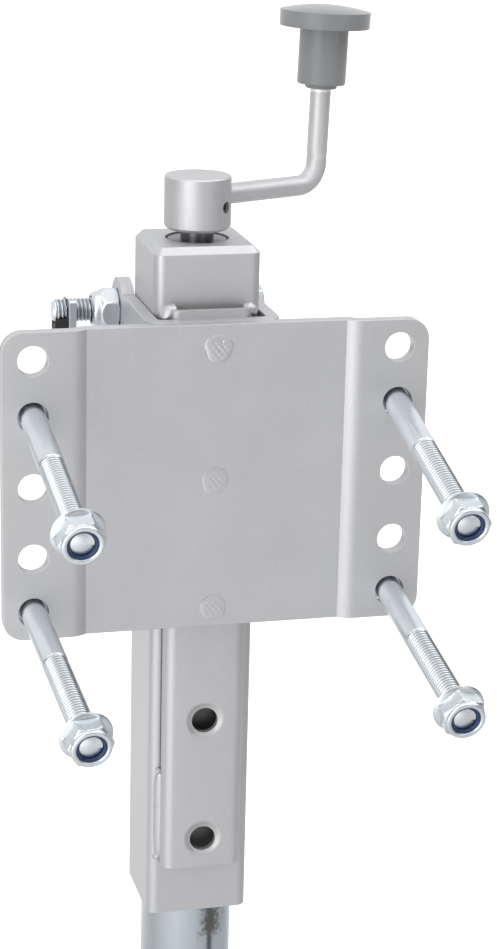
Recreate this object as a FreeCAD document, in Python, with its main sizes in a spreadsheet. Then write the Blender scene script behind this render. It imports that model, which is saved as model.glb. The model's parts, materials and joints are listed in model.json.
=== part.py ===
import FreeCAD, Part
import math
import os

import PartDesign
import Sketcher

from FreeCAD import Vector

# Hand-cranked trailer jack on a side-mount plate.
#
# Frame: the origin is the centre of the plate's hole pattern, on the front
# face of its two wings, which is the face that lies against the trailer frame.
# +X is to the right seen from the trailer frame, +Y runs from the plate to the
# jack tube, +Z is up. Every length is in millimetres, every angle in degrees.

SIZES = {
    # Mount plate: one bent sheet, two wings and a panel set back between them.
    "plate_width": 204.0,
    "plate_height": 149.0,
    "plate_thick": 6.35,
    "plate_corner": 10.0,
    "wing_width": 39.8,
    "joggle_depth": 3.0,
    "joggle_angle": 40.0,
    "joggle_crease": 0.5,
    # Five holes in each wing, the rows mirrored about the middle one.
    "hole_margin": 14.5,
    "row_margin": 13.5,
    "row_inner": 34.3,
    "plate_hole": 14.3,
    # U-shaped saddle behind the plate, with a lug at each end of each ear.
    "saddle_thick": 6.35,
    "saddle_side_gap": 0.35,
    "saddle_bend": 8.5,
    "ear_reach": 42.0,
    "lug_radius": 15.6,
    "keeper_margin": 9.8,
    "keeper_gap": 0.15,
    # Square outer tube.
    "tube_side": 51.4,
    "tube_wall": 2.0,
    "tube_corner": 5.0,
    "tube_top": 101.7,
    "tube_length": 339.2,
    # Shallow channel on the tube's front, with a row of height holes.
    "rail_width": 40.6,
    "rail_depth": 9.25,
    "rail_wall": 3.0,
    "rail_bend": 5.5,
    "rail_margin": 15.5,
    "rail_hole": 13.0,
    "stud_margin": 10.5,
    "stud_drop": 1.2,
    "stud_dia": 12.5,
    "stud_reach": 2.0,
    # Cap on the tube's top.
    "cap_thick": 4.4,
    "cap_bevel": 3.4,
    "spigot_depth": 10.0,
    "recess_dia": 30.4,
    "recess_depth": 2.0,
    # Screw, its collar and bearing, and the nut that lifts and lowers the leg.
    "screw_dia": 15.9,
    "screw_clear": 0.06,
    "bearing_dia": 34.0,
    "bearing_height": 6.0,
    "collar_dia": 30.0,
    "collar_height": 8.0,
    "pin_dia": 5.0,
    "ring_dia": 28.0,
    "ring_thick": 1.3,
    "stop_dia": 26.0,
    "stop_height": 5.0,
    "nut_height": 30.0,
    "nut_flange": 4.0,
    "leg_travel": 250.0,
    # Round leg and its foot.
    "leg_dia": 46.2,
    "leg_wall": 2.5,
    "leg_top": 62.0,
    "leg_drop": 73.4,
    "foot_side": 100.0,
    "foot_thick": 5.0,
    "foot_corner": 12.0,
    "foot_lip": 6.0,
    # Crank: hub, bent rod and knob.
    "hub_dia": 32.0,
    "hub_height": 25.4,
    "hub_lift": 4.5,
    "hub_bevel": 1.5,
    "hub_edge": 0.6,
    "hub_socket": 20.0,
    "hub_screw_dia": 5.6,
    "hub_screw_angle": -67.0,
    "arm_height": 14.7,
    "rod_dia": 10.0,
    "rod_bend": 11.0,
    "crank_angle": 23.1,
    "crank_throw": 71.5,
    "crank_lean": 2.2,
    "knob_height": 49.1,
    "washer_dia": 15.5,
    "washer_thick": 2.0,
    "neck_dia": 23.7,
    "neck_length": 27.5,
    "disc_dia": 44.1,
    "disc_thick": 7.8,
    "dome_rise": 2.7,
    "knob_skin": 4.5,
    "knob_clear": 0.08,
    # Half-inch bolts through the plate, slack in their holes as photographed.
    "bolt_dia": 12.3,
    "bolt_bevel": 0.8,
    "hex_flats": 19.05,
    "head_height": 8.1,
    "head_stand": 6.3,
    "nut_face": 115.3,
    "tip_sink": 2.2,
    "flange_dia": 24.5,
    "flange_thick": 2.0,
    "hex_thick": 7.6,
    "crown_dia": 18.8,
    "crown_thick": 1.9,
    "crown_taper": 1.0,
    "crown_mouth": 13.9,
    "crown_lip": 0.7,
    "ring_height": 3.6,
    "thread_clear": 0.05,
    "upper_left_droop": 12.9,
    "upper_left_yaw": 1.85,
    "upper_right_droop": 14.0,
    "upper_right_yaw": 0.1,
    "lower_left_droop": 11.6,
    "lower_left_yaw": 3.9,
    "lower_right_droop": 11.9,
    "lower_right_yaw": 1.5,
    # Keeper bolts across the back of the tube.
    "keeper_hole": 13.5,
    "keeper_tail": 32.3,
    "keeper_hex": 7.8,
    "keeper_crown": 5.2,
    "keeper_taper": 3.0,
    "keeper_face_gap": 0.1,
    # Fork clip and rubber loop on the upper keeper bolt's end.
    "clip_thick": 3.6,
    "clip_width": 21.0,
    "clip_top": 6.8,
    "clip_rear": 3.0,
    "clip_drop": 19.0,
    "clip_inset": 6.9,
    "loop_width": 0.6,
    "loop_wall": 0.3,
    "block_length": 6.0,
    "block_width": 11.0,
    "block_drop": 17.0,
}

DOC = FreeCAD.newDocument("trailer_jack")
KEPT = []


class Size:
    """A number kept together with the sheet formula that gives it."""

    def __init__(self, value, text):
        self.value = value
        self.text = text

    def __add__(self, other):
        other = as_size(other)
        return Size(self.value + other.value, f"({self.text} + {other.text})")

    def __radd__(self, other):
        return as_size(other) + self

    def __sub__(self, other):
        other = as_size(other)
        return Size(self.value - other.value, f"({self.text} - {other.text})")

    def __rsub__(self, other):
        return as_size(other) - self

    def __mul__(self, other):
        other = as_size(other)
        return Size(self.value * other.value, f"({self.text} * {other.text})")

    def __rmul__(self, other):
        return as_size(other) * self

    def __truediv__(self, other):
        other = as_size(other)
        return Size(self.value / other.value, f"({self.text} / {other.text})")

    def __neg__(self):
        return Size(-self.value, f"(0 - {self.text})")


def as_size(number):
    """Wraps a plain number, and passes a Size through."""
    if isinstance(number, Size):
        return number
    return Size(float(number), f"({float(number)!r})")


def sine(angle):
    """Sine of a Size in degrees."""
    angle = as_size(angle)
    return Size(math.sin(math.radians(angle.value)), f"sin({angle.text})")


def cosine(angle):
    """Cosine of a Size in degrees."""
    angle = as_size(angle)
    return Size(math.cos(math.radians(angle.value)), f"cos({angle.text})")


def tangent(angle):
    """Tangent of a Size in degrees."""
    angle = as_size(angle)
    return Size(math.tan(math.radians(angle.value)), f"tan({angle.text})")


def make_sheet():
    """Writes every size into the sheet, one aliased row each."""
    sheet = DOC.addObject("Spreadsheet::Sheet", "Sizes")
    for row, (alias, number) in enumerate(SIZES.items(), start=1):
        sheet.set(f"A{row}", alias)
        sheet.set(f"B{row}", str(number))
        sheet.setAlias(f"B{row}", alias)
    DOC.recompute()
    return {alias: Size(float(number), f"Sizes.{alias}") for alias, number in SIZES.items()}


S = make_sheet()

# Places that several pieces share.
HOLE_SPREAD = S["plate_width"] - 2 * S["hole_margin"]
OUTER_ROW = S["plate_height"] / 2 - S["row_margin"]
PANEL_HALF = S["plate_width"] / 2 - S["wing_width"]
KEEPER_Z = S["plate_height"] / 2 - S["keeper_margin"]
STUD_PITCH = S["plate_height"] / 2 - S["stud_margin"]
STUD_TOP = STUD_PITCH - S["stud_drop"]
RAIL_TOP = STUD_TOP + S["rail_margin"]
RAIL_LENGTH = 4 * STUD_PITCH + 2 * S["rail_margin"]
PANEL_BACK = S["joggle_depth"] + S["plate_thick"]
SADDLE_BACK = PANEL_BACK + S["saddle_thick"]
TUBE_FRONT = SADDLE_BACK + S["rail_depth"]
TUBE_AXIS = TUBE_FRONT + S["tube_side"] / 2
TUBE_BACK = TUBE_FRONT + S["tube_side"]
TUBE_BOTTOM = S["tube_top"] - S["tube_length"]
EAR_INSIDE = S["tube_side"] / 2 + S["saddle_side_gap"]
EAR_OUTSIDE = EAR_INSIDE + S["saddle_thick"]
KEEPER_Y = TUBE_BACK + S["bolt_dia"] / 2 + S["keeper_gap"]
CAP_TOP = S["tube_top"] + S["cap_thick"]
HUB_BOTTOM = CAP_TOP + S["hub_lift"]
ARM_Z = HUB_BOTTOM + S["arm_height"]
SCREW_BORE = S["screw_dia"] / 2 + S["screw_clear"]
FOOT_TOP = TUBE_BOTTOM - S["leg_drop"]
BORE_SIDE = S["tube_side"] - 2 * S["tube_wall"]


# Helpers.

def bind(item, **formulas):
    """Binds properties of an object to sheet formulas."""
    for name, size in formulas.items():
        item.setExpression(name, as_size(size).text)


def place(item, x=0, y=0, z=0, yaw=0, pitch=0, roll=0):
    """Binds an object's place and its yaw, pitch and roll to sheet formulas."""
    for axis, size in (("x", x), ("y", y), ("z", z)):
        item.setExpression(f"Placement.Base.{axis}", as_size(size).text)
    for turn, size in (("Yaw", yaw), ("Pitch", pitch), ("Roll", roll)):
        item.setExpression(f"Placement.Rotation.{turn}", as_size(size).text)


def keep(item, label):
    """Names a finished sub-part and puts it on the list that is written out."""
    item.Label = label
    KEPT.append(item)
    return item


def new_body(name):
    """Starts an empty body."""
    return DOC.addObject("PartDesign::Body", name)


def new_sketch(body, name, role, offset=None):
    """Makes a sketch on one of the body's own origin planes."""
    sketch = body.newObject("Sketcher::SketchObject", name)
    plane = [item for item in body.Origin.OriginFeatures if item.Role == role][0]
    sketch.AttachmentSupport = [(plane, "")]
    sketch.MapMode = "FlatFace"
    if offset is not None:
        sketch.setExpression("AttachmentOffset.Base.z", as_size(offset).text)
    return sketch


def pin_point(sketch, geometry, corner, x, y):
    """Fixes one sketch point at formulas for its two coordinates."""
    for kind, size in (("DistanceX", as_size(x)), ("DistanceY", as_size(y))):
        rule = Sketcher.Constraint(kind, -1, 1, geometry, corner, size.value)
        number = sketch.addConstraint(rule)
        sketch.renameConstraint(number, f"{kind}_{geometry}_{corner}")
        sketch.setExpression(f"Constraints.{kind}_{geometry}_{corner}", size.text)


def draw_outline(sketch, corners):
    """Draws a closed outline through corners whose coordinates are formulas."""
    points = [(as_size(x), as_size(y)) for x, y in corners]
    count = len(points)
    first = sketch.GeometryCount
    for index in range(count):
        start = points[index]
        end = points[(index + 1) % count]
        tail = Vector(start[0].value, start[1].value, 0)
        head = Vector(end[0].value, end[1].value, 0)
        sketch.addGeometry(Part.LineSegment(tail, head), False)
    for index in range(count):
        after = first + (index + 1) % count
        sketch.addConstraint(Sketcher.Constraint("Coincident", first + index, 2, after, 1))
    for index, (x, y) in enumerate(points):
        pin_point(sketch, first + index, 1, x, y)


def draw_circle(sketch, x, y, diameter):
    """Draws a circle with its centre and diameter bound to formulas."""
    x, y, diameter = as_size(x), as_size(y), as_size(diameter)
    centre = Vector(x.value, y.value, 0)
    ring = Part.Circle(centre, Vector(0, 0, 1), diameter.value / 2)
    number = sketch.addGeometry(ring, False)
    pin_point(sketch, number, 3, x, y)
    rule = sketch.addConstraint(Sketcher.Constraint("Diameter", number, diameter.value))
    sketch.renameConstraint(rule, f"Diameter_{number}")
    sketch.setExpression(f"Constraints.Diameter_{number}", diameter.text)


def pad(body, sketch, length, middle=False, reverse=False):
    """Pads a sketch, from its plane or to both sides of it."""
    feature = body.newObject("PartDesign::Pad", sketch.Name + "_pad")
    feature.Profile = sketch
    feature.Midplane = middle
    feature.Reversed = reverse
    bind(feature, Length=length)
    sketch.Visibility = False
    DOC.recompute()
    return feature


def pocket(body, sketch, length=None, middle=False, reverse=False):
    """Cuts a sketch through the body, or to a depth."""
    before = body.Shape.Volume
    feature = body.newObject("PartDesign::Pocket", sketch.Name + "_pocket")
    feature.Profile = sketch
    feature.Midplane = middle
    feature.Reversed = reverse
    if length is None:
        feature.Type = "ThroughAll"
    else:
        bind(feature, Length=length)
    sketch.Visibility = False
    DOC.recompute()
    if body.Shape.Volume > before - 0.01:
        raise ValueError(f"{feature.Name} removes nothing")
    return feature


def revolve(body, sketch):
    """Turns a sketch on the XZ plane about the body's Z axis."""
    feature = body.newObject("PartDesign::Revolution", sketch.Name + "_turned")
    feature.Profile = sketch
    feature.ReferenceAxis = (sketch, ["V_Axis"])
    feature.Angle = 360.0
    sketch.Visibility = False
    DOC.recompute()
    return feature


def dress(body, base, kind, size, chosen):
    """Rounds or bevels the edges of a feature that pass a test."""
    names = [f"Edge{number}" for number, edge in enumerate(base.Shape.Edges, start=1)
             if chosen(edge)]
    feature = body.newObject(f"PartDesign::{kind}", f"{base.Name}_{kind.lower()}")
    feature.Base = (base, names)
    if kind == "Fillet":
        bind(feature, Radius=size)
    else:
        bind(feature, Size=size)
    DOC.recompute()
    return feature


def middle_of(edge):
    """Centre of an edge's bounding box."""
    return edge.BoundBox.Center


def runs_along(edge, axis):
    """True for a straight edge parallel to an axis, given as x, y or z."""
    box = edge.BoundBox
    spans = {"x": box.XLength, "y": box.YLength, "z": box.ZLength}
    others = [span for name, span in spans.items() if name != axis]
    return spans[axis] > 1e-4 and max(others) < 1e-4


def near(first, second):
    """True for two numbers that agree to a hundredth of a millimetre."""
    return abs(first - as_size(second).value) < 0.01


def cylinder(name, diameter, height):
    """Cylinder along its own Z axis."""
    item = DOC.addObject("Part::Cylinder", name)
    bind(item, Radius=as_size(diameter) / 2, Height=height)
    return item


def cone(name, bottom, top, height):
    """Cone along its own Z axis, given by its two diameters."""
    item = DOC.addObject("Part::Cone", name)
    bind(item, Radius1=as_size(bottom) / 2, Radius2=as_size(top) / 2, Height=height)
    return item


def hexagon(name, flats, height):
    """Hexagonal prism along its own Z axis, given across its flats."""
    item = DOC.addObject("Part::Prism", name)
    item.Polygon = 6
    bind(item, Circumradius=as_size(flats) / 2 / cosine(30), Height=height)
    return item


def fuse(name, *items):
    """Joins overlapping or touching shapes into one."""
    joined = DOC.addObject("Part::MultiFuse", name)
    joined.Shapes = list(items)
    joined.Refine = True
    return joined


def cut(name, base, tool):
    """Takes one shape out of another."""
    result = DOC.addObject("Part::Cut", name)
    result.Base = base
    result.Tool = tool
    result.Refine = True
    return result


def common(name, first, second):
    """Keeps what two shapes share."""
    result = DOC.addObject("Part::MultiCommon", name)
    result.Shapes = [first, second]
    result.Refine = True
    return result


def group(name, members):
    """Puts separate solids into one node."""
    result = DOC.addObject("Part::Compound", name)
    result.Links = members
    return result


def copy_of(item, name, **where):
    """Linked copy of a shape at a place of its own."""
    link = DOC.addObject("App::Link", name)
    link.LinkedObject = item
    place(link, **where)
    return link


# Mount plate and saddle.

def hole_rows():
    """Heights of the five hole rows."""
    return [OUTER_ROW, S["row_inner"], as_size(0), -S["row_inner"], -OUTER_ROW]


def stud_rows():
    """Heights of the three locating studs."""
    return [STUD_TOP - STUD_PITCH * step for step in range(3)]


def make_mount_plate():
    """Bent plate: two flat wings, and between them a panel set back a little."""
    body = new_body("mount_plate")
    profile = new_sketch(body, "plate_profile", "XY_Plane")
    angle = S["joggle_angle"]
    half = S["plate_width"] / 2
    inner = PANEL_HALF
    outer = inner + S["joggle_depth"] / tangent(angle)
    shift = S["plate_thick"] * tangent(angle / 2)
    draw_outline(profile, [
        (-half, 0), (-outer, 0), (-inner, S["joggle_depth"]),
        (inner, S["joggle_depth"]), (outer, 0), (half, 0),
        (half, S["plate_thick"]), (outer + shift, S["plate_thick"]),
        (inner + shift, PANEL_BACK), (-inner - shift, PANEL_BACK),
        (-outer - shift, S["plate_thick"]), (-half, S["plate_thick"]),
    ])
    sheet_metal = pad(body, profile, S["plate_height"], middle=True)
    # The wing curls over most of the slope and ends at a tight crease beside the panel.
    curl = 0.88 * S["joggle_depth"] / sine(angle) / tangent(angle / 2)
    crease = S["joggle_crease"]
    bends = sheet_metal
    for depth, radius in ((as_size(0), curl), (S["joggle_depth"], crease),
                          (S["plate_thick"], curl - S["plate_thick"]),
                          (PANEL_BACK, crease + S["plate_thick"])):
        bends = dress(body, bends, "Fillet", radius, lambda edge: (
            runs_along(edge, "z") and near(middle_of(edge).y, depth)
            and abs(middle_of(edge).x) < half.value - 1))
    dress(body, bends, "Fillet", S["plate_corner"], lambda edge: (
        runs_along(edge, "y") and abs(middle_of(edge).x) > half.value - 1))
    holes = new_sketch(body, "plate_holes", "XZ_Plane")
    for height in hole_rows():
        draw_circle(holes, HOLE_SPREAD / 2, height, S["plate_hole"])
        draw_circle(holes, -HOLE_SPREAD / 2, height, S["plate_hole"])
    for height in stud_rows():
        draw_circle(holes, 0, height, S["stud_dia"])
    pocket(body, holes, middle=True)
    return keep(body, "mount_plate")


def make_saddle():
    """U-shaped bracket round the tube, with a lug at both ends of each ear."""
    body = new_body("saddle")
    profile = new_sketch(body, "saddle_profile", "XY_Plane")
    reach = TUBE_FRONT + S["ear_reach"]
    draw_outline(profile, [
        (-EAR_OUTSIDE, PANEL_BACK), (EAR_OUTSIDE, PANEL_BACK),
        (EAR_OUTSIDE, reach), (EAR_INSIDE, reach),
        (EAR_INSIDE, SADDLE_BACK), (-EAR_INSIDE, SADDLE_BACK),
        (-EAR_INSIDE, reach), (-EAR_OUTSIDE, reach),
    ])
    channel = pad(body, profile, S["plate_height"], middle=True)
    outside = dress(body, channel, "Fillet", S["saddle_bend"], lambda edge: (
        runs_along(edge, "z") and near(middle_of(edge).y, PANEL_BACK)))
    dress(body, outside, "Fillet", S["saddle_bend"] - S["saddle_thick"], lambda edge: (
        runs_along(edge, "z") and near(middle_of(edge).y, SADDLE_BACK)
        and near(abs(middle_of(edge).x), EAR_INSIDE)))
    foot = new_sketch(body, "lug_arm", "YZ_Plane", EAR_INSIDE)
    low = KEEPER_Z - S["lug_radius"]
    start = reach - S["saddle_thick"]
    draw_outline(foot, [
        (start, low), (KEEPER_Y, low), (KEEPER_Y, S["plate_height"] / 2),
        (start, S["plate_height"] / 2),
    ])
    arm = pad(body, foot, S["saddle_thick"])
    round_end = new_sketch(body, "lug_end", "YZ_Plane", EAR_INSIDE)
    draw_circle(round_end, KEEPER_Y, KEEPER_Z, 2 * S["lug_radius"])
    end = pad(body, round_end, S["saddle_thick"])
    bore = new_sketch(body, "lug_bore", "YZ_Plane")
    draw_circle(bore, KEEPER_Y, KEEPER_Z, S["keeper_hole"])
    drilled = pocket(body, bore, reverse=True)
    planes = {item.Role: item for item in body.Origin.OriginFeatures}
    sides = body.newObject("PartDesign::Mirrored", "lug_other_side")
    sides.Originals = [arm, end, drilled]
    sides.MirrorPlane = (planes["YZ_Plane"], [""])
    body.Tip = sides
    DOC.recompute()
    lower_arm = body.newObject("PartDesign::Mirrored", "lug_other_end")
    lower_arm.Originals = [arm, end, drilled]
    lower_arm.MirrorPlane = (planes["XY_Plane"], [""])
    body.Tip = lower_arm
    DOC.recompute()
    last = new_sketch(body, "lug_last_arm", "YZ_Plane", -EAR_OUTSIDE)
    draw_outline(last, [
        (start, -S["plate_height"] / 2), (KEEPER_Y, -S["plate_height"] / 2),
        (KEEPER_Y, -low), (start, -low),
    ])
    pad(body, last, S["saddle_thick"])
    last_end = new_sketch(body, "lug_last_end", "YZ_Plane", -EAR_OUTSIDE)
    draw_circle(last_end, KEEPER_Y, -KEEPER_Z, 2 * S["lug_radius"])
    pad(body, last_end, S["saddle_thick"])
    last_bore = new_sketch(body, "lug_last_bore", "YZ_Plane")
    draw_circle(last_bore, KEEPER_Y, -KEEPER_Z, S["keeper_hole"])
    pocket(body, last_bore)
    holes = new_sketch(body, "saddle_holes", "XZ_Plane")
    for height in stud_rows():
        draw_circle(holes, 0, height, S["stud_dia"])
    pocket(body, holes, middle=True)
    return keep(body, "saddle")


def make_studs():
    """Three studs, welded flush in the plate, that the rail's holes hook over."""
    length = SADDLE_BACK + S["rail_wall"] + S["stud_reach"] - S["joggle_depth"]
    members = []
    for number, height in enumerate(stud_rows()):
        stud = cylinder(f"stud_{number}", S["stud_dia"], length)
        place(stud, y=S["joggle_depth"], z=height, roll=-90)
        members.append(stud)
    return keep(group("stud_group", members), "locating_studs")


# Outer tube, rail and cap.

def square(sketch, side):
    """Draws a square about the sketch's origin."""
    half = as_size(side) / 2
    draw_outline(sketch, [(-half, -half), (half, -half), (half, half), (-half, half)])


def make_outer_tube():
    """Square tube with rounded corners, open at both ends."""
    body = new_body("outer_tube")
    outside = new_sketch(body, "tube_outside", "XY_Plane")
    square(outside, S["tube_side"])
    block = pad(body, outside, S["tube_length"])
    dress(body, block, "Fillet", S["tube_corner"], lambda edge: runs_along(edge, "z"))
    inside = new_sketch(body, "tube_inside", "XY_Plane")
    square(inside, BORE_SIDE)
    hollow = pocket(body, inside, reverse=True)
    limit = BORE_SIDE.value / 2 + 0.01
    dress(body, hollow, "Fillet", S["tube_corner"] - S["tube_wall"], lambda edge: (
        runs_along(edge, "z") and abs(middle_of(edge).x) < limit
        and abs(middle_of(edge).y) < limit))
    place(body, y=TUBE_AXIS, z=TUBE_BOTTOM)
    return keep(body, "outer_tube")


def make_rail():
    """Shallow channel with its open side on the tube and five height holes."""
    body = new_body("height_rail")
    profile = new_sketch(body, "rail_profile", "XY_Plane")
    half = S["rail_width"] / 2
    wall = S["rail_wall"]
    draw_outline(profile, [
        (-half, -S["rail_depth"]), (half, -S["rail_depth"]), (half, 0), (half - wall, 0),
        (half - wall, wall - S["rail_depth"]), (wall - half, wall - S["rail_depth"]),
        (wall - half, 0), (-half, 0),
    ])
    channel = pad(body, profile, RAIL_LENGTH)
    outside = dress(body, channel, "Fillet", S["rail_bend"], lambda edge: (
        runs_along(edge, "z") and near(middle_of(edge).y, -S["rail_depth"])))
    dress(body, outside, "Fillet", S["rail_bend"] - wall, lambda edge: (
        runs_along(edge, "z") and near(middle_of(edge).y, wall - S["rail_depth"])
        and near(abs(middle_of(edge).x), half - wall)))
    hole = new_sketch(body, "rail_hole", "XZ_Plane")
    draw_circle(hole, 0, S["rail_margin"], S["rail_hole"])
    first = pocket(body, hole, reverse=False, middle=True)
    row = body.newObject("PartDesign::LinearPattern", "rail_hole_row")
    row.Originals = [first]
    upright = [item for item in body.Origin.OriginFeatures if item.Role == "Z_Axis"][0]
    row.Direction = (upright, [""])
    row.Occurrences = 5
    bind(row, Length=4 * STUD_PITCH)
    body.Tip = row
    DOC.recompute()
    place(body, y=TUBE_FRONT, z=RAIL_TOP - RAIL_LENGTH)
    return keep(body, "height_rail")


def make_top_cap():
    """Square cap with a bevelled rim, a spigot inside the tube and a bearing seat."""
    body = new_body("top_cap")
    outline = new_sketch(body, "cap_outline", "XY_Plane")
    square(outline, S["tube_side"])
    block = pad(body, outline, S["cap_thick"])
    rounded = dress(body, block, "Fillet", S["tube_corner"], lambda edge: runs_along(edge, "z"))
    dress(body, rounded, "Chamfer", S["cap_bevel"], lambda edge: (
        near(middle_of(edge).z, S["cap_thick"])))
    spigot = new_sketch(body, "cap_spigot", "XY_Plane")
    draw_circle(spigot, 0, 0, BORE_SIDE - 0.2)
    pad(body, spigot, S["spigot_depth"], reverse=True)
    recess = new_sketch(body, "cap_recess", "XY_Plane", S["cap_thick"])
    draw_circle(recess, 0, 0, S["recess_dia"])
    pocket(body, recess, S["recess_depth"])
    bore = new_sketch(body, "cap_bore", "XY_Plane")
    draw_circle(bore, 0, 0, 2 * SCREW_BORE)
    pocket(body, bore, middle=True)
    place(body, y=TUBE_AXIS, z=S["tube_top"])
    return keep(body, "top_cap")


# Screw and leg.

def turned(name, corners):
    """Body turned about Z from a half profile of radius and height pairs."""
    body = new_body(name)
    sketch = new_sketch(body, name + "_half", "XZ_Plane")
    draw_outline(sketch, corners)
    revolve(body, sketch)
    return body


def make_thrust_bearing():
    """Flat bearing between the cap's spigot and the screw's collar."""
    inside = SCREW_BORE + 0.1
    outside = S["bearing_dia"] / 2
    groove = S["bearing_height"] / 3
    body = turned("thrust_bearing", [
        (inside, 0), (outside, 0), (outside, groove), (outside - 1.5, groove),
        (outside - 1.5, 2 * groove), (outside, 2 * groove),
        (outside, S["bearing_height"]), (inside, S["bearing_height"]),
    ])
    top = S["tube_top"] - S["spigot_depth"]
    place(body, y=TUBE_AXIS, z=top - S["bearing_height"])
    return keep(body, "thrust_bearing")


def collar_top():
    """Height of the screw collar's upper face, just under the bearing."""
    return S["tube_top"] - S["spigot_depth"] - S["bearing_height"] - 0.05


def screw_bottom():
    """Lower end of the screw: the nut's lowest place and the end stop below it."""
    return S["leg_top"] - S["nut_height"] - S["leg_travel"] - S["stop_height"] - 3.0


def make_screw():
    """Screw from the hub down through the nut, with an end stop."""
    radius = S["screw_dia"] / 2
    top = HUB_BOTTOM + S["hub_socket"] - screw_bottom()
    body = turned("screw_turned", [
        (0, 0), (S["stop_dia"] / 2, 0), (S["stop_dia"] / 2, S["stop_height"]),
        (radius, S["stop_height"]), (radius, top - 1.0), (radius - 1.0, top), (0, top),
    ])
    place(body, y=TUBE_AXIS, z=screw_bottom())
    hole = cylinder("screw_pin_hole", S["pin_dia"] + 0.1, S["collar_dia"])
    place(hole, x=-S["collar_dia"] / 2, y=TUBE_AXIS,
          z=collar_top() - S["collar_height"] / 2, pitch=90)
    return keep(cut("screw_with_hole", body, hole), "drive_screw")


def make_collar():
    """Collar that carries the load from the screw into the bearing."""
    inside = S["screw_dia"] / 2 + 0.05
    body = turned("collar_turned", [
        (inside, 0), (S["collar_dia"] / 2, 0),
        (S["collar_dia"] / 2, S["collar_height"]), (inside, S["collar_height"]),
    ])
    place(body, y=TUBE_AXIS, z=collar_top() - S["collar_height"])
    hole = cylinder("collar_pin_hole", S["pin_dia"] + 0.1, S["collar_dia"])
    place(hole, x=-S["collar_dia"] / 2, y=TUBE_AXIS,
          z=collar_top() - S["collar_height"] / 2, pitch=90)
    return keep(cut("collar_with_hole", body, hole), "thrust_collar")


def make_collar_pin():
    """Cross pin through the collar and the screw."""
    length = S["collar_dia"] - 2.0
    pin = cylinder("collar_pin", S["pin_dia"], length)
    place(pin, x=-length / 2, y=TUBE_AXIS, z=collar_top() - S["collar_height"] / 2, pitch=90)
    return keep(pin, "collar_pin")


def make_snap_ring():
    """Snap ring on the screw, in the cap's recess, that keeps the screw from dropping."""
    inside = S["screw_dia"] / 2 + 0.05
    body = turned("snap_ring", [
        (inside, 0), (S["ring_dia"] / 2, 0), (S["ring_dia"] / 2, S["ring_thick"]),
        (inside, S["ring_thick"]),
    ])
    place(body, y=TUBE_AXIS, z=CAP_TOP - S["recess_depth"] + 0.05)
    return keep(body, "snap_ring")


def make_drive_nut():
    """Flanged nut in the top of the leg, running on the screw."""
    shank = S["leg_dia"] / 2 - S["leg_wall"] - 0.05
    flange = S["leg_dia"] / 2 - 0.8
    height = S["nut_height"]
    body = turned("drive_nut", [
        (SCREW_BORE, 0), (shank - 2.0, 0), (shank, 2.0), (shank, height),
        (flange, height), (flange, height + S["nut_flange"]),
        (SCREW_BORE, height + S["nut_flange"]),
    ])
    place(body, y=TUBE_AXIS, z=S["leg_top"] - height)
    return keep(body, "drive_nut")


def make_inner_tube():
    """Round leg that slides in the square tube."""
    outside = S["leg_dia"] / 2
    inside = outside - S["leg_wall"]
    length = S["leg_top"] - FOOT_TOP
    body = turned("inner_tube", [(inside, 0), (outside, 0), (outside, length), (inside, length)])
    place(body, y=TUBE_AXIS, z=FOOT_TOP)
    return keep(body, "inner_tube")


def make_foot_plate():
    """Pressed square foot with a shallow turned-up rim."""
    body = new_body("foot_plate")
    outline = new_sketch(body, "foot_outline", "XY_Plane")
    square(outline, S["foot_side"])
    block = pad(body, outline, S["foot_thick"] + S["foot_lip"])
    rounded = dress(body, block, "Fillet", S["foot_corner"], lambda edge: runs_along(edge, "z"))
    dress(body, rounded, "Chamfer", S["foot_lip"] * 0.8, lambda edge: (
        near(middle_of(edge).z, 0)))
    tray = new_sketch(body, "foot_tray", "XY_Plane", S["foot_thick"] + S["foot_lip"])
    square(tray, S["foot_side"] - 2 * S["foot_thick"])
    dish = pocket(body, tray, S["foot_lip"])
    inner = S["foot_side"] / 2 - S["foot_thick"]
    dress(body, dish, "Fillet", S["foot_corner"] - S["foot_thick"], lambda edge: (
        runs_along(edge, "z") and near(abs(middle_of(edge).x), inner)
        and near(abs(middle_of(edge).y), inner)))
    place(body, y=TUBE_AXIS, z=FOOT_TOP - S["foot_thick"])
    return keep(body, "foot_plate")


# Crank.

def on_crank(radius, rise=0):
    """World coordinates of a point in the plane of the bent rod."""
    return {"x": radius * cosine(S["crank_angle"]),
            "y": TUBE_AXIS + radius * sine(S["crank_angle"]), "z": ARM_Z + rise}


def on_upright(height):
    """World coordinates of a point on the rod's upright run."""
    lean = S["crank_lean"]
    return on_crank(S["crank_throw"] + height * sine(lean), height * cosine(lean))


def make_hub():
    """Turned hub with a socket for the screw and side holes for rod and set screw."""
    radius = S["hub_dia"] / 2
    socket = S["screw_dia"] / 2 + 0.05
    depth = S["hub_socket"] + 0.5
    body = turned("hub_turned", [
        (socket, 0), (radius - S["hub_bevel"], 0), (radius, S["hub_bevel"]),
        (radius, S["hub_height"] - S["hub_edge"]),
        (radius - S["hub_edge"], S["hub_height"]), (0, S["hub_height"]),
        (0, depth), (socket, depth),
    ])
    place(body, y=TUBE_AXIS, z=HUB_BOTTOM)
    rod_hole = cylinder("hub_rod_hole", S["rod_dia"] + 0.1, radius)
    place(rod_hole, **on_crank(S["screw_dia"] / 2 - 1.0), yaw=S["crank_angle"], pitch=90)
    screw_hole = cylinder("hub_screw_hole", S["hub_screw_dia"] + 0.1, radius)
    place(screw_hole, y=TUBE_AXIS, z=ARM_Z - 3.3,
          yaw=S["crank_angle"] + S["hub_screw_angle"], pitch=90)
    holes = fuse("hub_holes", rod_hole, screw_hole)
    return keep(cut("hub_drilled", body, holes), "crank_hub")


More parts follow.
